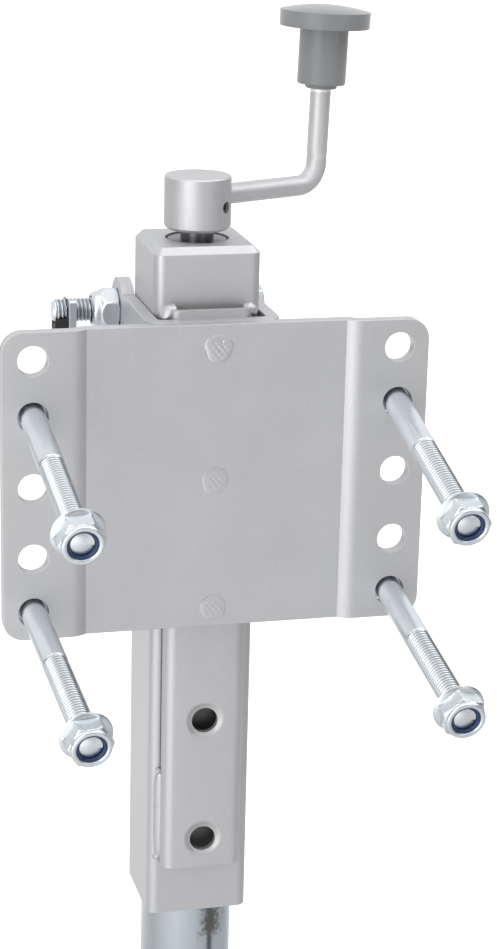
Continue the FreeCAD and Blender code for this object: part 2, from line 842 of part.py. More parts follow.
def make_hub_screw():
    """Set screw in the hub, its hexagon socket just below the surface."""
    length = S["hub_dia"] / 2 - S["screw_dia"] / 2 - 2.2
    angle = S["crank_angle"] + S["hub_screw_angle"]
    inner = S["screw_dia"] / 2 + 0.05
    where = {"x": inner * cosine(angle), "y": TUBE_AXIS + inner * sine(angle), "z": ARM_Z - 3.3}
    rod = cylinder("hub_screw_rod", S["hub_screw_dia"], length)
    socket = hexagon("hub_screw_socket", S["hub_screw_dia"] / 2, length)
    place(socket, z=length / 2)
    screw = cut("hub_screw_cut", rod, socket)
    place(screw, **where, yaw=angle, pitch=90)
    return keep(screw, "hub_screw")


def make_crank_rod():
    """Round rod: an arm out of the hub, one bend, and an upright run to the knob."""
    body = new_body("crank_rod")
    path = new_sketch(body, "rod_path", "XZ_Plane")
    turn = 90 - S["crank_lean"]
    run = S["rod_bend"] * tangent(turn / 2)
    start = S["screw_dia"] / 2 + 0.5
    corner = S["crank_throw"] - run
    reach = S["knob_height"] + S["neck_length"] + S["disc_thick"] - S["knob_skin"] - 0.5
    first = Part.LineSegment(Vector(start.value, 0, 0), Vector(corner.value, 0, 0))
    sweep = math.radians(turn.value)
    bend = Part.ArcOfCircle(
        Part.Circle(Vector(corner.value, S["rod_bend"].value, 0), Vector(0, 0, 1),
                    S["rod_bend"].value), -math.pi / 2, -math.pi / 2 + sweep)
    top = (S["crank_throw"] + reach * sine(S["crank_lean"]), reach * cosine(S["crank_lean"]))
    second = Part.LineSegment(bend.EndPoint, Vector(top[0].value, top[1].value, 0))
    path.addGeometry([first, bend, second], False)
    path.addConstraint(Sketcher.Constraint("Tangent", 0, 2, 1, 1))
    path.addConstraint(Sketcher.Constraint("Tangent", 1, 2, 2, 1))
    pin_point(path, 0, 1, start, 0)
    path.addConstraint(Sketcher.Constraint("Horizontal", 0))
    number = path.addConstraint(Sketcher.Constraint("Radius", 1, S["rod_bend"].value))
    path.renameConstraint(number, "bend")
    path.setExpression("Constraints.bend", S["rod_bend"].text)
    pin_point(path, 2, 2, top[0], top[1])
    section = new_sketch(body, "rod_section", "YZ_Plane", start)
    draw_circle(section, 0, 0, S["rod_dia"])
    DOC.recompute()
    pipe = body.newObject("PartDesign::AdditivePipe", "rod_pipe")
    pipe.Profile = section
    pipe.Spine = (path, ["Edge1", "Edge2", "Edge3"])
    path.Visibility = False
    section.Visibility = False
    DOC.recompute()
    dress(body, pipe, "Chamfer", as_size(1.0), lambda edge: middle_of(edge).z > reach.value / 2
          and edge.BoundBox.ZLength < 2.0)
    place(body, y=TUBE_AXIS, z=ARM_Z, yaw=S["crank_angle"])
    return keep(body, "crank_rod")


def make_knob_washer():
    """Push-on washer under the knob."""
    inside = S["rod_dia"] / 2 + 0.05
    outside = S["washer_dia"] / 2
    thick = S["washer_thick"]
    body = turned("knob_washer", [
        (inside, 0), (outside - 0.6, 0), (outside, 0.6), (outside, thick), (inside, thick)])
    place(body, **on_upright(S["knob_height"] - thick - 0.1),
          yaw=S["crank_angle"], pitch=S["crank_lean"])
    return keep(body, "knob_washer")


def make_knob():
    """Moulded knob: a neck and a broad disc with a slightly domed top."""
    inside = S["rod_dia"] / 2 + S["knob_clear"]
    neck = S["neck_dia"] / 2
    disc = S["disc_dia"] / 2
    low = S["neck_length"]
    high = low + S["disc_thick"]
    depth = high - S["knob_skin"]
    body = turned("knob", [
        (inside, 0), (neck - 0.8, 0), (neck, 0.8), (neck, low - 1.6), (neck + 1.6, low),
        (disc - 1.0, low), (disc, low + 1.0), (disc, high - 1.4), (disc - 1.4, high),
        (disc * 0.62, high + S["dome_rise"] * 0.7), (disc * 0.3, high + S["dome_rise"] * 0.95),
        (0, high + S["dome_rise"]), (0, depth), (inside, depth),
    ])
    place(body, **on_upright(S["knob_height"]), yaw=S["crank_angle"], pitch=S["crank_lean"])
    return keep(body, "knob")


# Bolts and nuts.

def hex_head(name):
    """Bolt head below z = 0, its outer corners bevelled."""
    block = hexagon(name + "_block", S["hex_flats"], S["head_height"])
    flats = S["hex_flats"]
    shape = cone(name + "_cone", flats - 1.0, flats + 2 * S["head_height"], S["head_height"])
    head = common(name, block, shape)
    place(head, z=-S["head_height"])
    return head


def make_bolt_form(name, length):
    """Hexagon bolt along Z: the underside of its head at z = 0, its tip at length."""
    head = hex_head(name + "_head")
    bevel = S["bolt_bevel"]
    shank = cylinder(name + "_shank", S["bolt_dia"], length - bevel)
    tip = cone(name + "_tip", S["bolt_dia"], S["bolt_dia"] - 2 * bevel, bevel)
    place(tip, z=length - bevel)
    return fuse(name, head, shank, tip)


def hex_crown(name, start, thick, rise, taper):
    """Hexagon of a lock nut from z = start, with its round crown above it."""
    flats = S["hex_flats"]
    block = hexagon(name + "_block", flats, thick)
    shape = cone(name + "_cone", flats + 2 * thick, flats, thick)
    hexed = common(name + "_hex", block, shape)
    place(hexed, z=start)
    crown = cone(name + "_crown", S["crown_dia"], S["crown_dia"] - taper, rise)
    place(crown, z=start + thick)
    return [hexed, crown]


def hollow_nut(name, solids, top):
    """Bores a nut for the thread, for its nylon ring and for the mouth of its crown."""
    joined = fuse(name + "_solid", *solids)
    bore = cylinder(name + "_bore", S["bolt_dia"] + 2 * S["thread_clear"], top)
    seat = cylinder(name + "_seat", S["crown_mouth"] + 1.2, S["ring_height"] + 0.1)
    place(seat, z=top - S["crown_lip"] - S["ring_height"] - 0.1)
    mouth = cylinder(name + "_mouth", S["crown_mouth"], S["crown_lip"])
    place(mouth, z=top - S["crown_lip"])
    return cut(name, joined, fuse(name + "_hollow", bore, seat, mouth))


def nut_height():
    """Height of a flanged lock nut."""
    return S["flange_thick"] + S["hex_thick"] + S["crown_thick"]


def make_flange_nut_form():
    """Flanged lock nut along Z, from the flange's face at z = 0."""
    rim = cylinder("flange_rim", S["flange_dia"], S["flange_thick"] / 2)
    slope = cone("flange_slope", S["flange_dia"], S["hex_flats"], S["flange_thick"] / 2)
    place(slope, z=S["flange_thick"] / 2)
    start, thick, rise = S["flange_thick"], S["hex_thick"], S["crown_thick"]
    solids = [rim, slope] + hex_crown("flange_nut", start, thick, rise, S["crown_taper"])
    return hollow_nut("flange_nut_form", solids, nut_height())


def make_plain_nut_form():
    """Plain lock nut along Z, from its face at z = 0."""
    thick, rise = S["keeper_hex"], S["keeper_crown"]
    solids = hex_crown("plain_nut", as_size(0), thick, rise, S["keeper_taper"])
    return hollow_nut("plain_nut_form", solids, thick + rise)


def make_ring_form():
    """Nylon ring of a lock nut, its lower face at z = 0."""
    outside = cylinder("nylon_outside", S["crown_mouth"] + 1.0, S["ring_height"])
    inside = cylinder("nylon_inside", S["bolt_dia"] + 2 * S["thread_clear"], S["ring_height"])
    return cut("nylon_form", outside, inside)


def slack_bolt(corner):
    """Middle of one mounting bolt's hole and the bolt's tilt, by its corner of the plate."""
    side = 1 if "right" in corner else -1
    row = S["row_inner"] if "upper" in corner else -OUTER_ROW
    return {"x": side * HOLE_SPREAD / 2, "y": S["plate_thick"] / 2, "z": row,
            "yaw": S[corner + "_yaw"], "roll": 90 + S[corner + "_droop"]}


CORNERS = ["upper_left", "upper_right", "lower_left", "lower_right"]


def along(where, distance):
    """Moves a place along the direction that its own Z axis points."""
    droop = where["roll"] - 90
    flat = distance * cosine(droop)
    moved = dict(where)
    moved["x"] = where["x"] + flat * sine(where["yaw"])
    moved["y"] = where["y"] - flat * cosine(where["yaw"])
    moved["z"] = where["z"] - distance * sine(droop)
    return moved


def make_mount_fasteners(nut, ring):
    """Four slack mounting bolts with their nuts. Gives back the four nylon rings."""
    length = S["head_stand"] + S["nut_face"] - S["tip_sink"]
    bolt = make_bolt_form("mount_bolt_form", length)
    bolts, nuts, rings = [], [], []
    ring_foot = S["nut_face"] - S["crown_lip"] - S["ring_height"]
    for corner in CORNERS:
        where = slack_bolt(corner)
        bolts.append(copy_of(bolt, corner + "_bolt", **along(where, -S["head_stand"])))
        nuts.append(copy_of(nut, corner + "_nut", **along(where, S["nut_face"] - nut_height())))
        rings.append(copy_of(ring, corner + "_ring", **along(where, ring_foot)))
    keep(group("mount_bolt_group", bolts), "mount_bolts")
    keep(group("mount_nut_group", nuts), "mount_nuts")
    return rings


def make_keepers(nut, ring):
    """Two bolts across the back of the tube. Gives back their nylon rings."""
    start = EAR_OUTSIDE + S["keeper_face_gap"]
    bolt = make_bolt_form("keeper_bolt_form", 2 * start + S["keeper_tail"])
    thick = S["keeper_hex"] + S["keeper_crown"]
    ring_foot = start + thick - S["crown_lip"] - S["ring_height"]
    bolts, nuts, rings = [], [], []
    for name, side in (("upper", 1), ("lower", -1)):
        at = {"y": KEEPER_Y, "z": side * KEEPER_Z, "pitch": -90}
        bolts.append(copy_of(bolt, name + "_keeper_bolt", x=start, **at))
        nuts.append(copy_of(nut, name + "_keeper_nut", x=-start, **at))
        rings.append(copy_of(ring, name + "_keeper_ring", x=-ring_foot, **at))
    keep(group("keeper_bolt_group", bolts), "keeper_bolts")
    keep(group("keeper_nut_group", nuts), "keeper_nuts")
    return rings


def make_fasteners():
    """All the bolts, nuts and nylon rings."""
    ring = make_ring_form()
    rings = make_mount_fasteners(make_flange_nut_form(), ring)
    rings += make_keepers(make_plain_nut_form(), ring)
    keep(group("nylon_ring_group", rings), "nylon_rings")


def keeper_end():
    """X of the upper keeper bolt's free end."""
    return -(EAR_OUTSIDE + S["keeper_face_gap"] + S["keeper_tail"])


def make_end_clip():
    """Steel fork clip that straddles the upper keeper bolt near its end, its rear prong shorter."""
    body = new_body("end_clip")
    side = new_sketch(body, "clip_side", "YZ_Plane")
    half = S["clip_width"] / 2
    slot = S["bolt_dia"] / 2 + S["thread_clear"]
    draw_outline(side, [
        (-half, -S["clip_drop"]), (half, -S["clip_drop"]), (half, S["clip_rear"]),
        (slot, S["clip_rear"]), (slot, 0), (-slot, 0), (-slot, S["clip_top"]),
        (-half, S["clip_top"]),
    ])
    plate = pad(body, side, S["clip_thick"])
    dress(body, plate, "Fillet", as_size(1.6), lambda edge: (
        runs_along(edge, "x") and near(middle_of(edge).z, S["clip_top"])))
    throat = new_sketch(body, "clip_throat", "YZ_Plane")
    draw_circle(throat, 0, 0, 2 * slot)
    pocket(body, throat, reverse=True)
    place(body, x=keeper_end() + S["clip_inset"], y=KEEPER_Y, z=KEEPER_Z)
    return keep(body, "end_clip")


def make_end_loop():
    """Rubber loop round the upper keeper bolt's end, with a short block under it."""
    slot = S["bolt_dia"] + 2 * S["thread_clear"]
    around = cylinder("loop_around", slot + 2 * S["loop_wall"], S["loop_width"])
    place(around, x=S["block_length"] - S["loop_width"], pitch=90)
    block = DOC.addObject("Part::Box", "loop_block")
    bind(block, Length=S["block_length"], Width=S["block_width"], Height=S["block_drop"])
    place(block, y=-S["block_width"] / 2, z=-S["block_drop"])
    bore = cylinder("loop_bore", slot, S["block_length"] + 2)
    place(bore, x=-1, pitch=90)
    loop = cut("loop_bored", fuse("loop_solid", around, block), bore)
    place(loop, x=keeper_end() + S["clip_inset"] - S["block_length"] - 0.1,
          y=KEEPER_Y, z=KEEPER_Z)
    return keep(loop, "end_loop")


# Build, test and write.

def build():
    """Makes every sub-part."""
    make_mount_plate()
    make_saddle()
    make_studs()
    make_outer_tube()
    make_rail()
    make_top_cap()
    make_thrust_bearing()
    make_screw()
    make_collar()
    make_collar_pin()
    make_snap_ring()
    make_drive_nut()
    make_inner_tube()
    make_foot_plate()
    make_hub()
    make_hub_screw()
    make_crank_rod()
    make_knob_washer()
    make_knob()
    make_fasteners()
    make_end_clip()
    make_end_loop()
    DOC.recompute()


def test():
    """Stops on any failed object or unsound shape."""
    for item in DOC.Objects:
        if "Invalid" in item.State or "Error" in item.State:
            raise ValueError(f"{item.Label} failed")
    for item in KEPT:
        shape = item.Shape
        if shape.isNull() or not shape.isValid() or not shape.Solids:
            raise ValueError(f"{item.Label} has no sound shape")


def write():
    """Writes one file per sub-part."""
    os.makedirs("parts", exist_ok=True)
    for item in KEPT:
        item.Shape.exportStep(f"parts/{item.Label}.step")
        box = item.Shape.BoundBox
        print(f"{item.Label}: {len(item.Shape.Solids)} solids, "
              f"{item.Shape.Volume:.0f} mm3, z {box.ZMin:.1f} to {box.ZMax:.1f}")


build()
test()
write()
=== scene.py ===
# %% [markdown]
# # A hand-cranked trailer jack, dressed for its portrait
#
# The jack is a square tube with a crank on top, held by a bent plate whose bolts would clamp a
# trailer's frame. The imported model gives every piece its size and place. This notebook adds what
# the eye needs: threads, rolled edges, welds, paint grain, zinc plating and a moulded knob.
# Lengths are in metres, so millimetres are written as a number times MM.

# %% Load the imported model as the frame
import json
import math

import bmesh
import bpy
import numpy as np
from mathutils import Matrix, Vector


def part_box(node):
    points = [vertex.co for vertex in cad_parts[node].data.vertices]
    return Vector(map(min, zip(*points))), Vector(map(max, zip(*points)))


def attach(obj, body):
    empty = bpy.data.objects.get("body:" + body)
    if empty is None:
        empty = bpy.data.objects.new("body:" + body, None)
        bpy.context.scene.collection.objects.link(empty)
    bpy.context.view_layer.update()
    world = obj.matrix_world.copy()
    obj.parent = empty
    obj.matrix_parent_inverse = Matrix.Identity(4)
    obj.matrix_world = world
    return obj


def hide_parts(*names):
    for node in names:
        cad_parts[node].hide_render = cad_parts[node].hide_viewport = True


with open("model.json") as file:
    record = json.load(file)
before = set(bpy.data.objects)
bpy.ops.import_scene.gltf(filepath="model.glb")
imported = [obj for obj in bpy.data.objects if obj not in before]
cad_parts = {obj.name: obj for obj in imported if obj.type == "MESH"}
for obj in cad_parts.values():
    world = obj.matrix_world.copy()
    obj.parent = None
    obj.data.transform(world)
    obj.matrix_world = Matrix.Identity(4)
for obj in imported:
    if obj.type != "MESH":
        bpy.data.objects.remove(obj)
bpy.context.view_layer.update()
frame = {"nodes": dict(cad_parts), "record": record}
nodes = frame["nodes"]
MM = 0.001

# %% [markdown]
# ## The camera
#
# A photograph can be solved for its camera: the plate's ten holes lie on a known grid, and only one
# viewpoint puts all of them where the picture shows them. The camera stands about a metre away, a
# little to the left and above, with a lens of 89 mm. It is tipped by one and a half degrees.

# %% Camera
CAMERA_PLACE = Vector((-0.25247, -1.0274, 0.32921))
CAMERA_AZIMUTH = math.radians(-14.6)
CAMERA_ELEVATION = math.radians(17.14)
CAMERA_ROLL = math.radians(1.42)
CAMERA_LENS = 89.15


def camera_axes(azimuth, elevation, roll):
    """Right, up and back of a camera: back points at the viewer along azimuth and elevation, right
    is level, and both right and up are then turned about back by the roll."""
    back = Vector((math.sin(azimuth) * math.cos(elevation),
                   -math.cos(azimuth) * math.cos(elevation), math.sin(elevation)))
    level = (-back).cross(Vector((0, 0, 1))).normalized()
    upright = level.cross(-back)
    right = math.cos(roll) * level + math.sin(roll) * upright
    up = -math.sin(roll) * level + math.cos(roll) * upright
    return right, up, back


scene = bpy.context.scene
camera_data = bpy.data.cameras.new("portrait_camera")
camera_data.lens = CAMERA_LENS
camera_data.sensor_width = 36.0
camera_data.clip_end = 50.0
camera = bpy.data.objects.new("portrait_camera", camera_data)
scene.collection.objects.link(camera)
right, up, back = camera_axes(CAMERA_AZIMUTH, CAMERA_ELEVATION, CAMERA_ROLL)
turn = Matrix((right, up, back)).transposed().to_4x4()
camera.matrix_world = Matrix.Translation(CAMERA_PLACE) @ turn
scene.camera = camera
print("camera at", tuple(round(v, 3) for v in CAMERA_PLACE), "lens", CAMERA_LENS)

# %% [markdown]
# ## Three helpers for shader nodes
#
# The world, the floor and every finish are built from shader nodes. One helper adds a node and
# connects it, one maps a range of values onto another, and one does a step of arithmetic.


# %% Node helpers
def add(tree, kind, links=None, **values):
    """Adds a node, sets its properties, and feeds its inputs from sockets or plain values."""
    node = tree.nodes.new(kind)
    for name, value in values.items():
        setattr(node, name, value)
    for socket, source in (links or {}).items():
        if isinstance(source, bpy.types.NodeSocket):
            tree.links.new(source, node.inputs[socket])
        else:
            node.inputs[socket].default_value = source
    return node


def ramp(tree, value, low, high, out_low=0.0, out_high=1.0):
    """Maps low..high smoothly on out_low..out_high."""
    return add(tree, "ShaderNodeMapRange", {"Value": value, "From Min": low, "From Max": high,
               "To Min": out_low, "To Max": out_high},
               interpolation_type="SMOOTHSTEP").outputs["Result"]


def mathed(tree, operation, first, second=0.0):
    """One step of arithmetic on two sockets or numbers."""
    return add(tree, "ShaderNodeMath", {0: first, 1: second}, operation=operation).outputs[0]


# %% [markdown]
# ## Floor and light
#
# The photograph is a studio shot on white. Metal shows what stands around it, so most of the work
# is in what the jack would see there. A tall soft panel at the left front draws the bright stripe
# down the hub and the rod, and a narrow one at the right front a weaker stripe. A panel up on the
# right lights the upper half of the crank's arm, and one overhead every edge that faces up. The
# wide pale floor lies where the foot arrives when the leg is run right out, so it never hides it.

# %% Floor
FLOOR_SIZE = 30.0
joints = {joint["name"]: joint for joint in frame["record"]["behaviour"]["joints"]}
travel = joints["leg_extend"]["range_m"][1]
floor_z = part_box("foot_plate")[0].z - travel


def flat_square(name, side, height):
    """A level square of four corners at one height, facing up."""
    half = side / 2
    corners = [(-half, -half, height), (half, -half, height), (half, half, height),
               (-half, half, height)]
    mesh = bpy.data.meshes.new(name)
    mesh.from_pydata(corners, [], [(0, 1, 2, 3)])
    square = bpy.data.objects.new(name, mesh)
    scene.collection.objects.link(square)
    return square


floor = flat_square("studio_floor", FLOOR_SIZE, floor_z)
print("floor at", round(floor_z, 4))


# %% Lights
PANEL_AIM = Vector((0.0, 0.0, -0.02))
PANELS = {  # name: (place, width, height, watts)
    "front_left_panel": ((-1.35, -1.35, 0.45), 1.15, 1.5, 13.5),
    "front_right_panel": ((1.1, -1.8, 0.35), 0.5, 1.3, 2.6),
    "right_upper_panel": ((1.25, 0.0, 1.45), 1.3, 1.3, 7.0),
    "top_panel": ((-0.2, -0.5, 2.2), 1.8, 1.6, 8.0),
}


def soft_panel(name, place, width, height, power):
    """A rectangular area light at a place, facing the middle of the jack."""
    data = bpy.data.lights.new(name, "AREA")
    data.shape = "RECTANGLE"
    data.size, data.size_y = width, height
    data.energy = power
    panel = bpy.data.objects.new(name, data)
    panel.location = place
    panel.rotation_euler = (PANEL_AIM - Vector(place)).to_track_quat("-Z", "Y").to_euler()
    scene.collection.objects.link(panel)


for panel_name, settings in PANELS.items():
    soft_panel(panel_name, *settings)
print("panels:", ", ".join(PANELS))


# %% World
ROOM = ("X", 0.20, 0.85, 0.30, 0.10)  # axis, low, high, strength at low, strength at high
BEYOND = (("Z", 0.30, 0.62, 1.0), ("Y", -0.05, 0.40, 0.95))  # axis, low, high, strength


def studio_world():
    """A world by the direction of the ray. In front of the jack the room is dim, more so on the
    right, which gives round metal its dark side. From eighteen to thirty-eight degrees up it
    passes into a bright ceiling, and behind the jack into a bright backdrop."""
    world = bpy.data.worlds.new("studio_world")
    world.use_nodes = True
    tree = world.node_tree
    tree.nodes.clear()
    rays = add(tree, "ShaderNodeTexCoord").outputs["Generated"]
    split = add(tree, "ShaderNodeSeparateXYZ", {0: rays}).outputs
    strength = ramp(tree, split[ROOM[0]], *ROOM[1:])
    for axis, low, high, level in BEYOND:
        strength = add(tree, "ShaderNodeMix", {"Factor": ramp(tree, split[axis], low, high),
                                               "A": strength, "B": level}).outputs["Result"]
    sky = add(tree, "ShaderNodeBackground", {"Color": (0.98, 0.99, 1.0, 1), "Strength": strength})
    add(tree, "ShaderNodeOutputWorld", {"Surface": sky.outputs[0]})
    return world


scene.world = studio_world()
scene.view_settings.view_transform = "Standard"
print("world:", scene.world.name)

# %% [markdown]
# ## How a surface becomes a mesh
#
# Every new piece is a sheet of points, rows by columns, worked out as whole arrays. A turned piece
# has one row for each step of its outline and one column for each step around. A swept piece has
# one row for each step along its path. The faces only say which points are neighbours.


# %% Faces of a grid
def grid_faces(rows, columns, ring=False):
    """Four-cornered faces between neighbouring points of a grid stored row after row. The columns
    close on themselves, and with ring the rows do too. Rows that climb while columns run
    anticlockwise make faces that look outwards."""
    first, second = np.meshgrid(np.arange(rows if ring else rows - 1), np.arange(columns),
                                indexing="ij")
    after, beside = (first + 1) % rows, (second + 1) % columns
    corners = (first * columns + second, first * columns + beside,
               after * columns + beside, after * columns + second)
    return np.stack(corners, axis=-1).reshape(-1, 4)


def join(shells):
    """Puts several (points, faces) shells one after the other in one list of points and faces."""
    counts = np.cumsum([0] + [len(points) for points, faces in shells])
    points = np.concatenate([points for points, faces in shells])
    faces = np.concatenate([faces + start for (_, faces), start in zip(shells, counts)])
    return points, faces


def build(name, shells, body, replaces=None, crease=38.0):
    """Makes one object of several shells, closes their seams and poles, smooths every edge that is
    blunter than the crease angle, and hangs the piece on its body."""
    points, faces = join(shells)
    mesh = bpy.data.meshes.new(name)
    mesh.from_pydata(points.tolist(), [], faces.tolist())
    close = bmesh.new()
    close.from_mesh(mesh)
    bmesh.ops.remove_doubles(close, verts=close.verts, dist=1e-6)
    close.to_mesh(mesh)
    close.free()
    mesh.shade_smooth()
    mesh.set_sharp_from_angle(angle=math.radians(crease))
    piece = bpy.data.objects.new(name, mesh)
    scene.collection.objects.link(piece)
    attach(piece, body)
    if replaces:
        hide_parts(replaces)
    print(name, len(mesh.polygons), "faces")
    return piece


# %% [markdown]
# ## Outlines with softened corners
#
# No real edge is perfectly sharp: a lathe leaves a tiny bevel and a mould a small radius. An
# outline is therefore given by its corners, each with its own softness, and an arc is fitted into
# every corner. Light then runs along the edge as a thin line, which is what makes metal look real.


# %% Soft outline
def soft_outline(corners, steps=5, ring=False):
    """Outline through corners given as (radius, height, softness). A soft corner becomes an arc
    that touches both sides: its ends lie softness / tan(half the corner's angle) from the corner,
    and its centre on the bisector, softness / sin(half the angle) away."""
    marks = np.array([corner[:2] for corner in corners], dtype=float)
    pieces = []
    for index, (r, z, softness) in enumerate(corners):
        here = marks[index]
        inner = ring or 0 < index < len(corners) - 1
        if not inner or softness <= 0:
            pieces.append(here[None])
            continue
        before = marks[index - 1] - here
        after = marks[(index + 1) % len(marks)] - here
        before, after = before / np.linalg.norm(before), after / np.linalg.norm(after)
        half = math.acos(np.clip(before @ after, -1, 1)) / 2
        bisector = (before + after) / np.linalg.norm(before + after)
        centre = here + bisector * softness / math.sin(half)
        reach = softness / math.tan(half)
        start, end = here + before * reach - centre, here + after * reach - centre
        sweep = math.pi - 2 * half
        t = np.linspace(0, 1, steps)[:, None]
        arc = (np.sin((1 - t) * sweep) * start + np.sin(t * sweep) * end) / math.sin(sweep)
        pieces.append(centre + arc)
    return np.concatenate(pieces)


def turned(outline, columns=96, ring=False):
    """Surface of revolution: each outline point (r, z) goes round the axis as
    (r cos a, r sin a, z)."""
    angle = np.arange(columns) * 2 * np.pi / columns
    r, z = outline[:, :1], outline[:, 1:]
    points = np.stack([r * np.cos(angle), r * np.sin(angle), z + 0 * angle], axis=-1)
    return points.reshape(-1, 3) * MM, grid_faces(len(outline), columns, ring)


def set_along(shell, start, axis, spin=0.0):
    """Stands a shell made along Z on a start point (mm) with its Z along axis. The first cross axis
    is level, and spin (degrees) turns the shell about its own axis."""
    points, faces = shell
    axis = np.array(axis, dtype=float) / np.linalg.norm(axis)
    guide = np.array([0, 0, 1.0]) if abs(axis[2]) < 0.9 else np.array([0, -1.0, 0])
    first = np.cross(axis, guide)
    first /= np.linalg.norm(first)
    second = np.cross(axis, first)
    a = math.radians(spin)
    cross = [math.cos(a) * first + math.sin(a) * second, math.cos(a) * second - math.sin(a) * first]
    return points @ np.array([cross[0], cross[1], axis]) + np.array(start) * MM, faces


# %% [markdown]
# ## Hexagons
#
# Bolt heads and nuts start as hexagonal bar, and a cone then takes their corners off. That is why
# the top of every hexagon shows curved arcs. One formula gives the distance of a hexagon's side at
# each angle, and each row of points takes whichever is smaller: that distance or the cone's radius.

# %% Hexagon surface
HEX_FLATS = 19.05


def hex_reach(angle, flats=HEX_FLATS, sharpness=70):
    """Distance from the middle to a hexagon's side at an angle. It is half the width across flats
    divided by the p-norm of the cosines to the six face directions, which rounds the corners."""
    facing = angle[:, None] - np.arange(6) * np.pi / 3
    cosines = np.clip(np.cos(facing), 0, None)
    return flats / 2 / (cosines ** sharpness).sum(axis=1) ** (1 / sharpness)


def hex_turned(rows, columns=144, ring=False):
    """Surface from rows of (radius, height, share): share 0 is a circle of that radius, share 1 the
    smaller of the hexagon and the circle."""
    rows = np.array(rows, dtype=float)
    angle = np.arange(columns) * 2 * np.pi / columns
    radius, z, share = rows[:, :1], rows[:, 1:2], rows[:, 2:]
    six = np.minimum(hex_reach(angle)[None, :], radius)
    r = (1 - share) * radius + share * six
    points = np.stack([r * np.cos(angle), r * np.sin(angle), z + 0 * r], axis=-1)
    return points.reshape(-1, 3) * MM, grid_faces(len(rows), columns, ring)


# %% [markdown]
# ## Threads
#
# A half-inch coarse thread climbs 1.954 mm each turn. It could be a spiral modifier or a texture,
# but a formula is simplest: at each height and angle the surface is as deep as its distance from
# the nearest crest, measured along the screw line. Rolled bolts have a plain shank first, and
# where the thread starts there is a small bevel that catches the light.

# %% Threaded rod surface
THREAD_PITCH = 1.954
THREAD_CREST = 6.0
THREAD_ROOT = 5.2
SHANK_RADIUS = 6.15
SHOULDER = 0.9


def threaded(length, smooth, bevel=0.8, slope=1.1, columns=60, per_turn=8):
    """Rod along Z: plain up to smooth, then threaded, then a bevelled flat end. The thread's phase
    is height / pitch less angle / full turn, and its depth a clipped triangle wave of that phase,
    which swells from nothing over the first turn."""
    plain = np.array([0.0, smooth - SHOULDER, smooth - 0.25, smooth])
    fine = np.arange(smooth + 0.1, length - 1e-6, THREAD_PITCH / per_turn)
    z = np.concatenate([plain, fine, [length]])[:, None]
    angle = np.arange(columns)[None, :] * 2 * np.pi / columns
    phase = np.mod(z / THREAD_PITCH - angle / (2 * np.pi), 1.0)
    depth = np.clip(1.35 * (1 - np.abs(2 * phase - 1)) - 0.15, 0, 1)
    swell = np.clip((z - smooth) / THREAD_PITCH, 0, 1)
    grooved = THREAD_CREST - (THREAD_CREST - THREAD_ROOT) * depth * swell
    taken = np.clip((z - smooth + SHOULDER) / SHOULDER, 0, 1)
    stepped = SHANK_RADIUS - (SHANK_RADIUS - THREAD_CREST) * taken
    r = np.where(z < smooth, stepped, grooved)
    r = np.minimum(r, THREAD_CREST - bevel + (length - z) * slope)
    ring = np.stack([r * np.cos(angle), r * np.sin(angle), z + 0 * r], axis=-1)
    foot, tip = np.zeros((1, columns, 3)), np.zeros((1, columns, 3))
    tip[:, :, 2] = length
    points = np.concatenate([foot, ring, tip]).reshape(-1, 3)
    return points * MM, grid_faces(len(z) + 2, columns)


def mark_grooves(piece, lines, first, last):
    """Writes how deep each point of a thread lies as a point attribute: the crest less the
    point's distance from the nearest bolt line, over the thread's depth, between the heights first
    and last. The zinc finish is darkened there by that depth, as painted shade in the grooves."""
    count = len(piece.data.vertices)
    place = np.empty(count * 3)
    piece.data.vertices.foreach_get("co", place)
    place = place.reshape(-1, 3) / MM
    depth = np.zeros(count)
    for start, axis in lines:
        start, axis = np.array(start, dtype=float), np.array(axis, dtype=float)
        reach = place - start
        height = reach @ axis
        away = np.linalg.norm(reach - height[:, None] * axis, axis=1)
        here = ((height > first) & (height < last)
                & (away > THREAD_ROOT - 0.1) & (away < THREAD_CREST + 0.1))
        sunk = np.clip((THREAD_CREST - away) / (THREAD_CREST - THREAD_ROOT), 0, 1)
        depth = np.where(here, sunk, depth)
    piece.data.attributes.new("groove_shade", "FLOAT", "POINT").data.foreach_set("value", depth)
    print(piece.name, "has", int((depth > 0.5).sum()), "points deep in the thread")


# %% [markdown]
# ## The four mounting bolts
#
# They hang slack in their holes, nut end down, as far as the holes let them. Each is a head, a
# shank and a nut set along one tilted line. The line passes through the middle of the hole halfway
# through the plate. The tilt was fitted to where the nuts and their blue rings stand in the
# photograph. The shank is plain to 46 mm beyond the middle of the plate's hole.

# %% Where the bolts hang
MIDPLANE = 3.175
MOUNT_PLAIN = 46.0
HEAD_STAND, NUT_FACE, TIP_SINK = 6.3, 115.3, 2.2
HANGING = {  # name: (x, z, droop, yaw, spin of the nut)
    "upper_left": (-87.5, 34.3, 12.9, 1.85, 34.0),
    "upper_right": (87.5, 34.3, 14.0, 0.1, 30.0),
    "lower_left": (-87.5, -61.0, 11.6, 3.9, 33.0),
    "lower_right": (87.5, -61.0, 11.9, 1.5, 12.0),
}


def hanging_line(x, z, droop, yaw):
    """Middle of the hole, and the unit direction from the head to the nut: forward and down by the
    droop, turned aside by the yaw."""
    down, aside = math.radians(droop), math.radians(yaw)
    axis = np.array([math.sin(aside) * math.cos(down), -math.cos(aside) * math.cos(down),
                     -math.sin(down)])
    return np.array([x, MIDPLANE, z]), axis


